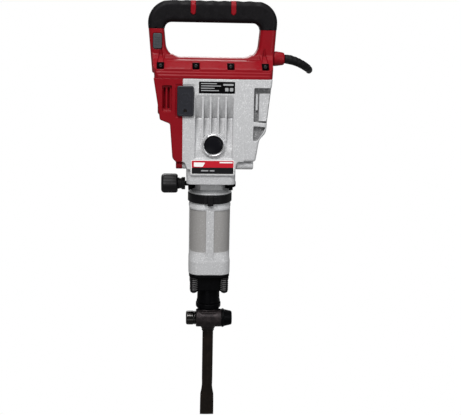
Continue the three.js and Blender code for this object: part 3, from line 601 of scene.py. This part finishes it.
def build_cord():
    stretches = [smooth_path(GUARD_ROUTE), smooth_path(LEAD_ROUTE), coil_path(), smooth_path(TAIL_ROUTE)]
    path = eased([Vector(CORD_START)] + [point for stretch in stretches for point in stretch], 4)
    cord = shade(sweep(path, lambda gone: CORD_R, 14))
    place(cord, "cord", black_rubber("cord_rubber"), "rubber", "cord_lead", "cord_coil")

    def boot_radius(gone):
        taper = GUARD_R - 1.6 * gone / 72
        return taper + (0.45 if 8 < gone < 60 and gone % 9 < 5 else 0.0)

    boot = shade(sweep(smooth_path(GUARD_ROUTE, 1.2), boot_radius, 28))
    place(boot, "cord_guard_boot", black_rubber("guard_rubber"), "rubber", "cord_guard")
    plug = build_plug()
    tie = build_tie()


def eased(path, rounds):
    """Evens out small kinks where the stretches of a route meet."""
    for _ in range(rounds):
        path = [path[0]] + [(a + 2 * b + c) / 4 for a, b, c in zip(path, path[1:], path[2:])] + [path[-1]]
    return path


def build_plug():
    x, y, z = PLUG_AT
    body = turned([
        (15.5, -39), (17.6, -38), (18.4, -36), (18.8, -23), (17, -18), (12.5, -14), (9, -12),
        (7.4, -9), (7.8, -6.5), (6.6, -5), (7, -2.5), (6, -1), (5.9, 0)], at=PLUG_AT, segments=48)
    flats = [block(x + s * 13.5, x + s * 30, 60, 110, -246, -222) for s in (-1, 1)]
    body = bevelled(carve(body, *flats), 0.7)
    pins = [turned([(1.8, -56), (2.4, -55), (2.4, -38)], at=(x + aside, y, z), segments=20)
            for aside in (-9.5, 9.5)]
    brass = turned_steel("pin_steel", (0.6, 0.55, 0.4), 0.3, (1, 1, 40))
    place(shade(merge(pins)), "plug_pins", brass, "rubber")
    return place(body, "plug_body", black_rubber("plug_rubber"), "rubber", "cord_plug")


def build_tie():
    """A strap through the eye behind the handle, round the top of the coil."""
    loop = rounded([
        (62, -101.2, 2), (69.5, -101.2, 5), (101.3, -110, 9), (101.3, -138, 10), (67.4, -142.5, 7),
        (67.4, -113, 4), (62, -110, 2)], 5)
    outer = [Vector((0, y, z)) for y, z in loop]
    centre = sum(outer, Vector()) / len(outer)
    rings = []
    for point, before, after in zip(outer, outer[-1:] + outer[:-1], outer[1:] + outer[:1]):
        along = (after - before).normalized()
        out = along.cross(Vector((1, 0, 0)))
        if out.dot(point - centre) < 0:
            out = -out
        rings.append([tuple(point + Vector((x, 0, 0)) + out * d)
                      for x, d in ((22.6, 0), (37.4, 0), (37.4, 1.3), (22.6, 1.3))])
    strap = bevelled(lofted(rings, looped=True), 0.4, 2, 40)
    return place(strap, "coil_tie", black_rubber("strap_webbing", (0.01, 0.01, 0.011)), "rubber")


# ---- Handle ------------------------------------------------------------------------------------
GRIP_R = 20.5
OPENING = [(-94.5, -20.5, 14), (94.5, -20.5, 14), (88, -88, 27), (-88, -88, 27)]
OUTER = [(-116, -124.4), (119, -124.4), (128, 20.5, 40), (-128, 20.5, 43)]
SCREWS_X = (-99.5, -31.8, 34.9, 101.5)
GLAND_Z = -88
STRIPES_X = (-37.6, 40)


def handle_loop(grow=0.0):
    """The whole loop of the top handle with softly rounded edges."""
    outer = prism(OUTER, "Y", -GRIP_R, GRIP_R, 12)
    hole = prism(OPENING, "Y", -40, 40, 12)
    loop = moulded(bevelled(carve(outer, hole), 12.5, 8, 60), 1.2, 8, 0.5)
    if grow:
        swell(loop, lambda point: grow)
    return loop


def swell(obj, amount_at):
    """Moves each point out along its normal by an amount in millimetres."""
    mesh = obj.data
    moves = [v.normal.copy() * amount_at(v.co / MM) * MM for v in mesh.vertices]
    for vertex, move in zip(mesh.vertices, moves):
        vertex.co += move
    return obj


def scallop(point):
    """The grip's shallow finger waves, fading towards the arms."""
    x, y, z = point
    fade = max(0.0, min(1.0, (104 - abs(x)) / 20)) * max(0.0, min(1.0, (z + 16) / 8))
    return 0.55 * fade * math.cos(2 * math.pi * (x + 1) / 24)


def build_grip():
    grip = overlap(swell(handle_loop(0.35), scallop), block(-150, 150, -60, 60, SEAM_Z, 60))
    place(shade(grip), "hand_grip", black_rubber("grip_rubber", (0.003, 0.0026, 0.0032), 0.1), "rubber",
          "grip_cover")
    for side, x in zip(("left", "right"), STRIPES_X):
        wrap = prism([(x - 5, -5.6, 4.4), (x + 5, -5.6, 4.4), (x + 5, 40), (x - 5, 40)], "Y", -40, 7)
        stripe = overlap(handle_loop(0.95), wrap)
        place(shade(stripe), f"grip_inlay_{side}", red_plastic(), "red_shell", f"grip_stripe_{side}")


def crossbar():
    """The lower handle, swelling in a slope and three steps to the full depth of the body."""
    front = [(-20, -82), (-22, -90), (-34, -92.2), (-60.5, -105.2), (-63.6, -106.2), (-63.6, -112.8),
             (-64.8, -113.2), (-64.8, -118.4), (-66, -118.9), (-66, -130)]
    rear = [(62, -130), (62, -108), (56, -102), (32, -92.4), (21, -91), (19, -82)]
    bar = prism(front + rear, "X", -128, 128)
    slope = [(-6, -56), (-12, -67), (-17, -76), (-22, -83.4), (-30, -90), (-44, -97), (-60.5, -105.2),
             (-60, -120), (-6, -120)]
    gussets = [prism(slope, "X", *sorted((s * 93, s * 128))) for s in (-1, 1)]
    widths = ((-132, 114.6, 119), (-118, 115.6, 119.8), (-92, 118.2, 120.8), (-55, 121.4, 122.8))
    sides = [[(x, y, z) for x, y in rounded(rect(-left, right, FRONT, REAR, 9), 5)]
             for z, left, right in widths]
    air = prism([(-87.6, -30), (-87.6, -87.6, 27), (87.6, -87.6, 27), (87.6, -30)], "Y", -90, 90, 10)
    whole = overlap(weld(bar, *gussets), tapered(lofted(sides)))
    return carve(whole, air, block(-150, 150, -90, 90, -150, HANDLE_FOOT - 0.6))


def tapered(obj, draft=5.5):
    """Draws the sides in towards the front, as the moulding's draft does."""
    for vertex in obj.data.vertices:
        ahead = max(0.0, (-vertex.co.y / MM - 22) / 44)
        vertex.co.x -= math.copysign(draft * ahead * MM, vertex.co.x)
    return obj


def screw_pocket(x, flute):
    """The cutters of a square pocket, and of the tapering flute that runs up from it."""
    pocket = prism(rect(x - 6.9, x + 6.9, -108.4, -95.6, 1), "Y", -80, -42, 3)
    if not flute:
        return [pocket]
    rings = [[(x - half, -80, z), (x + half, -80, z), (x + half, y, z), (x - half, y, z)]
             for z, half, y in ((-97, 6.6, -35), (-84, 3.8, -17.6), (-69, 0.9, -19))]
    return [pocket, lofted(rings)]


def build_shells():
    arms = overlap(handle_loop(), block(-150, 150, -60, 60, -118, SEAM_Z + 0.6))
    body = weld(arms, crossbar())
    cuts = [cut for x in SCREWS_X for cut in screw_pocket(x, abs(x) > 90)]
    cuts.append(prism(rect(-115, -97, -71.8, -41.8, 3.4), "Y", -40, -6.5))
    cuts.append(cylinder(11.9, 105, 160, "X", (0, 0, GLAND_Z)))
    body = moulded(carve(body, *cuts), 0.9, 3, 0.3)
    front, rear = halves(body)
    eye = carve(block(18, 42, 46, 67, -110, -103), block(22, 38, 40, 64, -120, -90))
    rear = shade(merge([rear, bevelled(eye, 1.2)]))
    place(front, "handle_front", red_plastic(), "red_shell", "handle_front_shell")
    place(rear, "handle_rear", red_plastic(), "red_shell", "handle_rear_shell")
    for i, x in enumerate(SCREWS_X):
        # Painted shade: a black plate fills the floor of each pocket and the screw heads get a near-black
        # steel, standing in for the shade deep in the pockets.
        seat = prism(rect(x - 6.8, x + 6.8, -108.3, -95.7), "Y", -48, -43)
        seat.data.materials.append(black_plastic())
        head = socket_screw(3.6, 3, (x, -51, -102))
        head.data.materials.append(turned_steel(f"screw_steel_{i + 1}", (0.07, 0.07, 0.07)))
        place_many([seat, head], f"pocket_screw_{i + 1}", "dark_steel", f"handle_screw_{i + 1}")


def socket_screw(radius, tall, at):
    """A pan-headed screw facing the front, with a six-lobed socket."""
    head = turned([(radius * 0.75, 0), (radius * 0.95, 0.8), (radius, 1.8), (radius, tall)], "Y", at, 32)
    corners = []
    for k in range(12):
        reach = radius * (0.52 if k % 2 == 0 else 0.36)
        angle = math.pi * k / 6
        corners.append((at[0] + reach * math.cos(angle), at[2] + reach * math.sin(angle)))
    return bevelled(carve(head, prism(corners, "Y", at[1] - 1, at[1] + 2.2)), 0.2, 2)


def build_switch():
    (x0, y0, z0), (x1, _, z1) = ([v / MM for v in corner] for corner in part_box("switch_button"))
    key = bevelled(prism(rect(x0, x1, z0, z1, 3.2), "Y", y0 + 0.6, y0 + 8), 1.4, 4, 50)
    heights = [z0 + 8 + 3.5 * i for i in range(5)]
    ridges = [prism(rect(x0 + 3.5, x1 - 3.5, z - 0.6, z + 0.6, 0.5), "Y", y0 - 0.1, y0 + 1.2)
              for z in heights]
    stem = block(-109, -103, -18, -11, -61.8, -51.8)
    place(shade(merge([key, stem] + [bevelled(r, 0.3, 2) for r in ridges])), "switch_key", grey_plastic(),
          "grey_plastic", "switch_button", body="switch")


# ---- Body --------------------------------------------------------------------------------------
def build_motor_housing():
    """The red side: tapered, with a step at its foot, a louvred recess and a cap over the motor's bearing."""
    side = [(-116.5, -106), (-103.5, -188), (-101.4, -204, 4), (-82, -211.6, 4), (-77, -278, 8),
            (-70, -286, 3), (-40, -286), (-40, -106)]
    shell = bevelled(prism(side, "Y", FRONT, REAR), 8, 5, 50)
    shell = tapered(overlap(shell, block(-130, -56.5, -90, 90, -310, HANDLE_FOOT)), 1.2)
    cap = turned([(9.6, -105.8), (11.6, -105), (12.4, -103.6), (12.4, -97)], "X", (0, 0, MOTOR_Z), 64)
    recess = prism(rect(-95.6, -77.2, -187.5, -138, 3), "Y", FRONT - 5, FRONT + 6)
    slots = [prism(rect(x - 1.9, x + 1.9, -183.5, -142, 1.6), "Y", FRONT - 5, FRONT + 16)
             for x in (-91.2, -83.6)]
    well = prism(rect(-70.5, -50, -199, -135), "Y", FRONT - 5, FRONT + 1.2)
    shell = moulded(carve(weld(shell, cap), recess, *slots, well), 1.0, 3, 0.3)
    place(merge([shell, stub(-69, -57)]), "motor_side", red_plastic(), "red_shell", "motor_housing")


def stub(low, high):
    """A length of the round bar that shows under the sides of the body."""
    profile = [(7, low), (8.3, low + 1.2), (8.3, high)]
    return shade(turned(profile, "X", (0, -50, -292.5), 48))


CHANNEL_X, CHANNEL_PITCH, CHANNEL_RIB, CHANNEL_BAYS = -32.7, 14.8, 3.4, 5
GAUGE_X, GAUGE_Z, GAUGE_SEAT = 3.7, -252, 24.4
GAUGE_AT = (GAUGE_X, 0, GAUGE_Z)
MOTOR_Z = -188
CHANNEL_FLOOR = [(FRONT - 4, -156), (FRONT + 0.4, -156), (FRONT + 17, -199), (FRONT + 19, -201),
                 (FRONT + 17.4, -204), (FRONT + 4, -262), (FRONT + 4, -279), (FRONT - 4, -279)]


def build_crank_case():
    side = [(-57.6, -285), (-52, -285, 6), (-47, -300), (47, -300), (49, -284, 6), (63, -284),
            (63, HANDLE_FOOT), (-57.6, HANDLE_FOOT)]
    case = prism(side, "Y", FRONT, REAR)
    block_z = prism(rect(-48, 48, -62, 54, 12), "Z", -330.5, -280, 8)
    throat = turned([(40, -300), (36, -328), (34.5, -333), (34.5, -344), (36, -347.5), (43, -352.6),
                     (44, -354), (44, -356)])
    bed = prism(rect(-41, 46, -312, -279, 3), "Y", FRONT, FRONT + 20)
    body = weld(case, block_z, throat, bed)
    last = CHANNEL_X + CHANNEL_PITCH * CHANNEL_BAYS
    trough = prism(CHANNEL_FLOOR, "X", CHANNEL_X + 0.6, last - 0.6)
    well = prism(rect(-62, -33.5, -198.5, -135.5, 3), "Y", FRONT - 5, FRONT + 1.2)
    body = moulded(carve(body, trough, well), 1.1, 4, 0.35)
    ribs = [rib_between(CHANNEL_X + i * CHANNEL_PITCH) for i in range(1, CHANNEL_BAYS)]
    panel = bevelled(prism(rect(-21, 22, -38.2, -30, 2), "Z", -346, -330), 0.8, 2)
    body = merge([body, *ribs, gauge_seat(), panel, stub(-57, -44)])
    place(shade(body), "gear_case", silver_casting(), "casting", "crank_case")


def rib_between(x):
    """A rib of the channel, with a back that stands behind its floor; those above the gauge stop at it."""
    half = CHANNEL_RIB / 2
    aside = abs(x - GAUGE_X)
    end = GAUGE_Z + math.sqrt(GAUGE_SEAT ** 2 - aside ** 2) if aside < GAUGE_SEAT else -279.6
    crest = FRONT + 1.4
    side = [(crest, -158), (crest, end), (FRONT + 22, end), (FRONT + 22, -200), (crest + 1, -158)]
    return bevelled(prism(side, "X", x - half, x + half), 1, 3)


def gauge_seat():
    profile = [(18.2, FRONT + 14), (24.8, FRONT + 14), (24.2, FRONT + 1.2), (18.2, FRONT + 1.2)]
    return bevelled(turned(profile, "Y", GAUGE_AT, 72, closed=True), 0.4, 2)


def build_gear_cover():
    side = [(40, -106), (40, -284), (90.5, -284), (97, -241), (109.4, -227.4), (122, -106)]
    cover = tapered(bevelled(prism(side, "Y", FRONT, REAR), 5, 4, 30))
    belly = bevelled(block(50, 85, -30, 34, -294, -270), 6, 4)
    cover = overlap(weld(cover, belly), block(61.6, 140, -90, 90, -310, HANDLE_FOOT))
    upper = [(80, -141, 2), (116, -141, 2), (108, -209, 2), (80, -206, 2)]
    window = prism(upper, "Y", FRONT - 5, FRONT + 14)
    lower = [(80, -214, 2), (104, -216, 2), (98, -228, 2), (88, -243, 3), (80, -243, 2)]
    lower = prism(lower, "Y", FRONT - 5, FRONT + 9)
    cover = moulded(carve(cover, window, lower), 0.9, 2, 0.3)
    panel = prism([(90.5, -152), (110.5, -152), (105.4, -205), (90.5, -205)], "Y", FRONT + 7, FRONT + 15)
    panel = bevelled(panel, 0.8, 2)
    slat = bevelled(prism(rect(83.8, 87.8, -184, -153, 1), "Y", FRONT + 8, FRONT + 15), 0.6, 2)
    bar = turned([(8.5, 48), (8.8, 50), (8.8, 80), (7.5, 82)], "X", (0, -50, -292.3), 48)
    # Painted shade: the deeper faces of the two recesses take the darker copy of the casting, for the shade
    # that falls in them.
    paint(cover, 1, lambda c: FRONT + 6 < c.y < FRONT + 15.5 and 79.6 < c.x < 113 and -244 < c.z < -142)
    metals = [silver_casting(), painted_shade_casting()]
    place(merge([cover, panel, slat, shade(bar)]), "gear_side", metals, "casting", "gear_cover")


def build_doors():
    outline = rect(-67.3, -35.4, -196, -138, 4)
    x, screw_z = -51.9, -185.4
    front = bevelled(prism(outline, "Y", FRONT - 6, FRONT + 0.6), 2.2, 4, 60)
    sink = bevelled(prism(rect(-64.2, -38.5, -192.9, -141.1, 3), "Y", FRONT - 12, FRONT - 4.6), 0.1, 1)
    front = carve(front, sink, cylinder(3.4, FRONT - 12, FRONT - 2.4, "Y", (x, 0, screw_z), 32))
    rings = ((-163, 11.4, 9.8, -5.3, -4), (-163, 5.2, 0.01, -5.1, -4), (screw_z, 5.6, 3.5, -5.4, -2.6))
    relief = [turned(rect(inner, outer, FRONT + low, FRONT + high), "Y", (x, 0, z), 48, closed=True)
              for z, outer, inner, low, high in rings]
    front = bevelled(merge([front, *relief]), 0.35, 2, 40)
    place(front, "brush_door_front", slate_plastic(), "black_plastic", "brush_cover_front")
    rear = bevelled(prism(outline, "Y", REAR - 0.6, REAR + 6), 2.2, 4, 60)
    place(rear, "brush_door_rear", slate_plastic(), "black_plastic", "brush_cover_rear")
    place(socket_screw(3, 2, (x, FRONT - 4.4, screw_z)), "door_screw", forged_steel(), "steel",
          "brush_cover_screw")


def plaque(corners, low, high, material, width=0.05):
    """A thin plate of one material, between two depths in front of or behind the body's face."""
    piece = bevelled(prism(corners, "Y", FRONT + low, FRONT + high, 4), width, 2, 50)
    piece.data.materials.append(material)
    return piece


def build_data_plate():
    """A plain plate with a column of blank bars and two small squares in place of its print."""
    pale = ink_and_highlight("data_ink", (0.28, 0.285, 0.29))
    bars = [rect(-22, -22 + length, -134.2 - row * 4.4, -132.6 - row * 4.4, 0.3)
            for row, length in enumerate((30, 38, 26, 34))]
    squares = [rect(x, x + 6.4, -147.6, -141.2, 0.8) for x in (24, 33)]
    strip = rect(20.5, 39.8, -137, -133.6, 0.4)
    pieces = [plaque(rect(-26, 43, -152.2, -129.7, 1.5), -0.3, 0.6, black_plastic(), 0.3)]
    pieces += [plaque(shape, -0.45, -0.1, pale) for shape in (*bars, *squares, strip)]
    place_many(pieces, "rating_plate", "black_plastic", "data_plate")


def build_badge():
    """A two-colour plate with a pale rim and blank shapes in place of its print."""
    pale = ink_and_highlight("badge_rim", (0.75, 0.74, 0.73))
    grey = ink_and_highlight("badge_grey", (0.3, 0.3, 0.31))
    corner_block = [(-34, -294, 1), (-17, -294, 1), (-12, -285.6, 1), (-34, -285.6, 1)]
    shapes = [(rect(16, 41, -286.6, -284, 0.4), pale), (corner_block, pale),
              (rect(-20, -6, -302.8, -300.6, 0.4), grey), (rect(-3, 6, -302.8, -300.6, 0.4), grey)]
    pieces = [
        plaque(rect(-39.2, 44.1, -309, -281, 2), -0.5, 0.6, pale, 0.3),
        plaque(rect(-38.1, 43, -295.4, -282.1, 1.2), -0.7, -0.2, ink_and_highlight("badge_red", (0.42, 0.009, 0.02))),
        plaque(rect(-38.1, 43, -307.9, -295.4, 1.2), -0.7, -0.2,
               ink_and_highlight("badge_black", (0.004, 0.004, 0.005))),
    ]
    pieces += [plaque(shape, -0.85, -0.3, ink) for shape, ink in shapes]
    place_many(pieces, "front_badge", "red_shell", "badge_plate")


def place_many(pieces, name, slot, *replaces):
    """Joins pieces that already have their materials into one, keeping each one's material."""
    materials = []
    for piece in pieces:
        material = piece.data.materials[-1]
        if material not in materials:
            materials.append(material)
        paint(piece, materials.index(material))
    return place(merge(pieces), name, materials, slot, *replaces)


def build_gauge():
    rim = ((18.4, 6), (18.4, -1.4), (19, -2.6), (20.2, -3), (21.4, -2.6), (22, -1.2), (22, 6))
    ring = turned([(radius, FRONT + y) for radius, y in rim], "Y", GAUGE_AT, 96, closed=True)
    place(shade(ring), "gauge_rim", turned_steel("gauge_steel", (0.7, 0.7, 0.71), 0.3), "steel",
          "oil_gauge_ring")
    dome = ((0, -0.6), (10, -0.2), (16, 1), (18.3, 2.2), (18.3, 7))
    lens = turned([(radius, FRONT + y) for radius, y in dome], "Y", GAUGE_AT, 72)
    place(shade(lens), "gauge_window", gauge_glass(), "lens", "oil_gauge_lens")


# ---- Neck, clamp and side handle ---------------------------------------------------------------
PIVOT_Z = -339.5
PIVOT = (0, 0, PIVOT_Z)
SIDE_GRIP = (0, 136, PIVOT_Z + 66)


def build_clamp():
    section = [(34.9, -345.6), (40.5, -345.6), (40.5, -331.4), (34.9, -331.4)]
    collar = turned(section, segments=72, closed=True)
    ears = [prism(rect(*sorted((s * 36.4, s * 44.3)), -38, 8, 2), "Z", -345.6, -331.4) for s in (-1, 1)]
    body = carve(weld(collar, *ears), block(-33, 33.5, -60, -18, -400, -300),
                 cylinder(34.9, -400, -300, segments=72))
    place(bevelled(body, 0.8, 3), "neck_clamp", black_plastic(), "black_plastic", "handle_clamp")
    head = turned([(6, 49.8), (6.2, 50.1), (6.2, 51.4), (5.6, 51.8)], "X", PIVOT, 6)
    bolt = bevelled(merge([head, cylinder(5, 37.4, 50.4, "X", PIVOT, 32)]), 0.3, 2)
    place(bolt, "clamp_hex_bolt", turned_steel("bolt_steel", (0.02, 0.02, 0.021), 0.4), "steel",
          "clamp_bolt")


def build_knob():
    """A six-lobed hand knob on a stem."""
    rings = []
    count = 72
    rim = [(-65.4, 10.5), (-65, 16.6), (-66.4, 18.9), (-69, 20.1), (-92.5, 20.4), (-95.4, 19.3),
           (-97.4, 17.2), (-98.4, 14.6), (-98.4, 11.6), (-96.6, 10.6), (-96.4, 3)]
    for x, radius in rim:
        wave = 1.5 if radius > 14 else 0.0
        ring = []
        for k in range(count):
            angle = 2 * math.pi * k / count
            reach = radius - wave + wave * math.cos(6 * angle)
            ring.append((x, reach * math.cos(angle), PIVOT_Z + reach * math.sin(angle)))
        rings.append(ring)
    head = shade(lofted(rings))
    neck = turned([(11.4, -66), (11.4, -62), (10.6, -61.4), (10.6, -58), (12.2, -57.2), (12.5, -55),
                   (12.5, -50.6), (11.8, -50)], "X", PIVOT, 64)
    stem = cylinder(5, -53, -37.4, "X", PIVOT, 32)
    rubber = black_rubber("knob_rubber", (0.0034, 0.0031, 0.0036), 0.22)
    place(merge([head, shade(neck), shade(stem)]), "clamp_hand_knob", rubber, "black_plastic", "clamp_knob",
          body="clamp_knob")


def build_side_handle():
    line = [(-8, 7.2, 6.9), (60, 7.2, 12), (103, 49, 14), (128, 67, 10), (141, 66, 9), (141, 59, 7),
            (111, 36, 14), (68, -7.2, 14), (-8, -7.2, 6.9)]
    line = [(y, z + PIVOT_Z, r) for y, z, r in line]
    arms = [bevelled(prism(line, "X", *sorted((s * 44.6, s * 49.6)), 8), 1.1, 3, 40) for s in (-1, 1)]
    arms = carve(weld(*arms), cylinder(5.4, -60, 60, "X", PIVOT, 32))
    bar = cylinder(4.9, -50, 50, "X", SIDE_GRIP, 32)
    place(shade(merge([arms, bar])), "side_arms", black_plastic(), "dark_steel", "side_handle_frame",
          body="side_handle")
    profile = [(5.2, -44.3), (16.4, -44.3), (17, -43), (17, -37), (16, -34.5)]
    for i in range(13):
        x = -32 + i * 5.1
        belly = 14.6 + 1.6 * math.cos(x / 32 * math.pi / 2)
        profile += [(belly, x), (belly + 0.5, x + 0.7), (belly + 0.5, x + 3.2), (belly, x + 3.9)]
    profile += [(16, 34.5), (17, 37), (17, 43), (16.4, 44.3), (5.2, 44.3)]
    grip = turned(profile, "X", SIDE_GRIP, 56, closed=True)
    rubber = black_rubber("side_rubber")
    place(shade(grip), "side_hand_grip", rubber, "rubber", "side_grip", body="side_handle")


# ---- Barrel, front cover, retainer and chisel --------------------------------------------------
def build_band():
    section = [(41.8, -374), (43.6, -374), (44.4, -373.2), (44.4, -357.4), (43.6, -356.6), (41.8, -356.6)]
    hoop = turned(section, closed=True)
    lug = bevelled(prism(rect(-5.4, 5.9, -376.6, -357, 1.4), "Y", -49.4, -42.6, 4), 1, 3, 50)
    side = [bevelled(prism(rect(x - 3, x + 3, -372.6, -358, 1), "Y", -47.6, -41, 4), 0.8, 3, 50)
            for x in (-9, 9.5)]
    screw = socket_screw(2.4, 2, (0.2, -50, -372))
    place(merge([bevelled(hoop, 0.4, 2), lug, *side, screw]), "barrel_strap", black_rubber("band_rubber"),
          "rubber", "barrel_band")


def build_barrel():
    """A round top, then a square case with a rib down each side and darker machined panels between."""
    top = turned([(41.3, -356.3), (41.3, -378), (42.4, -379.6), (42.4, -384.6), (41.4, -386.4),
                  (0, -387)], segments=72)
    levels = [(-382, 41, 27), (-386.6, 41, 27), (-388.6, 39.4, 27), (-472, 39.4, 27), (-478, 39.8, 26),
              (-494, 42, 22.4), (-521, 42, 22)]
    rings = [[(x, y, z) for x, y in rounded(rect(-half, half, -half, half, r), 12)] for z, half, r in levels]
    body = lofted(rings)
    ribs = []
    for quarter in range(4):
        rib = bevelled(prism(rect(-8.2, 8.2, -499, -386, 1), "Y", -41.5, -30, 4), 0.9, 2, 50)
        rib.data.transform(Matrix.Rotation(quarter * math.pi / 2, 4, "Z"))
        ribs.append(rib)
    bore = cylinder(28.2, -530, -350, segments=64)
    whole = moulded(carve(weld(top, body, *ribs), bore), 0.9, 3, 0.35)

    def on_panel(c):
        return -474 < c.z < -388 and max(abs(c.x), abs(c.y)) < 40.5 and math.hypot(c.x, c.y) > 34

    paint(whole, 1, on_panel)
    place(whole, "barrel_housing", [silver_casting(), machined_silver()], "casting", "barrel_case")


def build_front_cover():
    plate = bevelled(prism(rect(-41, 41, -41, 41, 17), "Z", -527.3, -521.3, 8), 1.2, 3)
    stem = [(20, -588.7), (23.4, -588.7), (24.2, -587.6), (24.2, -584.6), (23.2, -583.2), (22.8, -560),
            (22.8, -540), (25, -530), (31, -527), (31, -523), (20, -523)]
    stem = turned(stem, segments=80, closed=True)
    web = prism(rect(-29.5, 29.5, -30.5, 30.5, 7), "Z", -558.5, -526, 6)
    web = bevelled(carve(web, cylinder(21, -600, -500)), 3, 4, 50)
    place(merge([plate, shade(stem), web]), "front_flange", black_plastic(), "black_plastic", "front_cover")
    # The second colour is a painted highlight on the bolts' fins.
    bolt_colours = [black_rubber("bolt_rubber"), ink_and_highlight("painted_fin_highlight", (0.085, 0.083, 0.083))]
    for i, (x, y) in enumerate([(-31, -31), (31, -31), (31, 31), (-31, 31)]):
        place(ribbed_head(x, y), f"ribbed_bolt_{i + 1}", bolt_colours, "black_plastic", f"front_bolt_{i + 1}")


def ribbed_head(x, y):
    """A long round-ended head with a stack of fins, whose rims are painted pale as a highlight where they
    face outwards.
    """
    top, low = -527.6, -561
    profile = [(0, low), (3.6, low + 0.3), (6.2, low + 1.8), (7.8, low + 4.4)]
    for i in range(6):
        z = low + 5.6 + i * 4
        profile += [(6.6, z), (6.7, z + 1.3), (8.2, z + 1.7), (8.4, z + 2.6), (8.1, z + 3.4)]
    profile += [(6.6, top - 3.4), (8.8, top - 3), (8.8, top)]
    head = shade(turned(profile, "Z", (x, y, 0), 48))

    # Painted highlight: the fin rims on the outer side in y and the inner side in x, where the light catches
    # them.
    def pale_edge(c):
        on_fin = math.hypot(c.x - x, c.y - y) > 7.9 and c.z < top - 4
        return on_fin and abs(c.y) - abs(y) > 3 > abs(c.x) - abs(x)

    paint(head, 1, pale_edge)
    return head


def build_retainer():
    at = (0, -17, -619.4)
    column = turned([
        (13.4, -648), (14.6, -646), (17, -640), (19.6, -632), (21, -622), (21, -606), (22.6, -602),
        (25.2, -599.4), (25.8, -598), (25.8, -590.6), (24.8, -589.3)], segments=80)
    tube = turned([(17.4, -25.6), (18.5, -24.4), (18.5, 26), (17.8, 27)], "X", at, 80)
    shoulders = prism(rect(-20.5, 20.5, -31, 4, 8), "Z", -634, -603, 6)
    bores = [cylinder(13.2, -650, -580), cylinder(7.4, -60, 60, "X", at, 40)]
    body = moulded(carve(weld(column, tube, shoulders), *bores), 0.9, 3, 0.35)
    paint(body, 1, lambda c: c.z > -601.5 and math.hypot(c.x, c.y) > 20)
    place(body, "tool_holder", [cast_iron(), black_plastic()], "dark_steel", "retainer_body")
    cap = turned([(18.2, 27.3), (19.3, 28), (19.3, 31), (18.2, 31.8), (17.4, 33), (14.6, 45.4),
                  (13.6, 47.8), (12, 48.3)], "X", at, 64)
    cap = carve(cap, cylinder(7.4, 20, 33, "X", at, 32))
    place(bevelled(cap, 0.5, 3, 40), "holder_cap", black_plastic(), "black_plastic", "retainer_cap")
    knurl = [(10, -46.3), (12.6, -45.8), (14, -44.4), (14.4, -42.6), (14.4, -31.6), (13.2, -30.4),
             (13.2, -29.6), (14, -28.8), (14, -26.8), (13, -25.9)]
    button = turned(knurl, "X", at, 72)
    pin = turned([(7, -30), (7, 23), (6, 24)], "X", at, 48)
    pin = carve(pin, block(-15, 15, at[1] - 10, at[1] - 1, at[2] - 10, at[2] + 10))
    pin = shade(merge([bevelled(button, 0.4, 3), bevelled(pin, 0.3, 2)]))
    place(pin, "locking_pin", turned_steel("pin_metal", (0.03, 0.029, 0.028), 0.17), "steel", "retainer_pin",
          body="retainer_pin")


def build_chisel():
    """A round shank with a flat for the pin, then a hexagonal bar drawn out to a flat edge."""
    half, corner = 11, 12.7
    shank = turned([(11.6, -570), (12.7, -572), (12.7, -652)], segments=48)
    shank = carve(shank, block(-20, 20, -20, -9.4, -645, -611.4))
    hexagon = [(half, corner / 2), (0, corner), (-half, corner / 2), (-half, -corner / 2), (0, -corner),
               (half, -corner / 2)]
    levels = [(-648, 0.96, 0.96), (-651, 1, 1), (-760, 1, 1), (-775, 0.97, 0.9), (-785, 1.06, 0.74),
              (-796, 1.26, 0.58), (-815, 1.29, 0.38), (-838, 1.31, 0.16), (-842.6, 1.3, 0.115),
              (-843, 1.28, 0.1)]
    rings = [[(x * wide, y * deep, z) for x, y in rounded([(x, y, 1.2) for x, y in hexagon], 3)]
             for z, wide, deep in levels]
    place(bevelled(merge([shank, lofted(rings)]), 0.25, 2), "chisel_bar", forged_steel(), "dark_steel",
          "chisel", body="chisel")


# ---- Rear cover, gland and the parts inside ----------------------------------------------------
def build_rear_cover():
    lid = bevelled(prism(rect(-31.7, 51.7, -287.7, -138.3, 6), "Y", REAR - 3.6, REAR + 3), 1.4, 3, 50)
    spots = [(x, z) for x in (-26, 46) for z in (-144.4, -213, -281.6)]
    bosses = [turned([(3.6, REAR + 2.4), (3.6, REAR + 3.9), (3, REAR + 4.4)], "Y", (x, 0, z), 32)
              for x, z in spots]
    sockets = [cylinder(1.9, REAR + 3.2, REAR + 6, "Y", (x, 0, z), 6) for x, z in spots]
    bosses = bevelled(carve(merge(bosses), *sockets), 0.2, 2)
    place(merge([lid, bosses]), "rear_lid", silver_casting(), "casting", "rear_cover")


def build_gland():
    boot = turned([(11.6, 105), (11.6, 121), (14, 121), (14.6, 122.4), (14.2, 128), (12.4, 139.4),
                   (11.4, 141.8), (9.8, 142.5), (8.6, 142.5), (8.6, 138)], "X", (0, 0, GLAND_Z), 64)
    place(shade(boot), "cord_entry", red_plastic(), "red_shell", "cord_gland")


INSIDE = {
    black_plastic: ("switch_body", "cooling_fan", "brush_front", "brush_rear"),
    copper_wire: ("stator", "armature"),
    turned_steel: ("motor_bearing_left", "motor_bearing_right", "crankshaft", "drive_gear", "crank_bearing",
                   "piston_pin", "striker", "cylinder", "anvil", "retainer_spring"),
    cast_iron: ("connecting_rod",),
    machined_silver: ("piston",),
}


def finish_inside():
    for recipe, nodes in INSIDE.items():
        material = recipe()
        for node in nodes:
            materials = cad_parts[node].data.materials
            materials.clear()
            materials.append(material)


for build in (
    add_camera, add_studio, build_cord, build_grip, build_shells, build_switch, build_motor_housing,
    build_crank_case, build_gear_cover, build_doors, build_data_plate, build_badge, build_gauge, build_clamp,
    build_knob, build_side_handle, build_band, build_barrel, build_front_cover, build_retainer, build_chisel,
    build_rear_cover, build_gland, finish_inside,
):
    build()
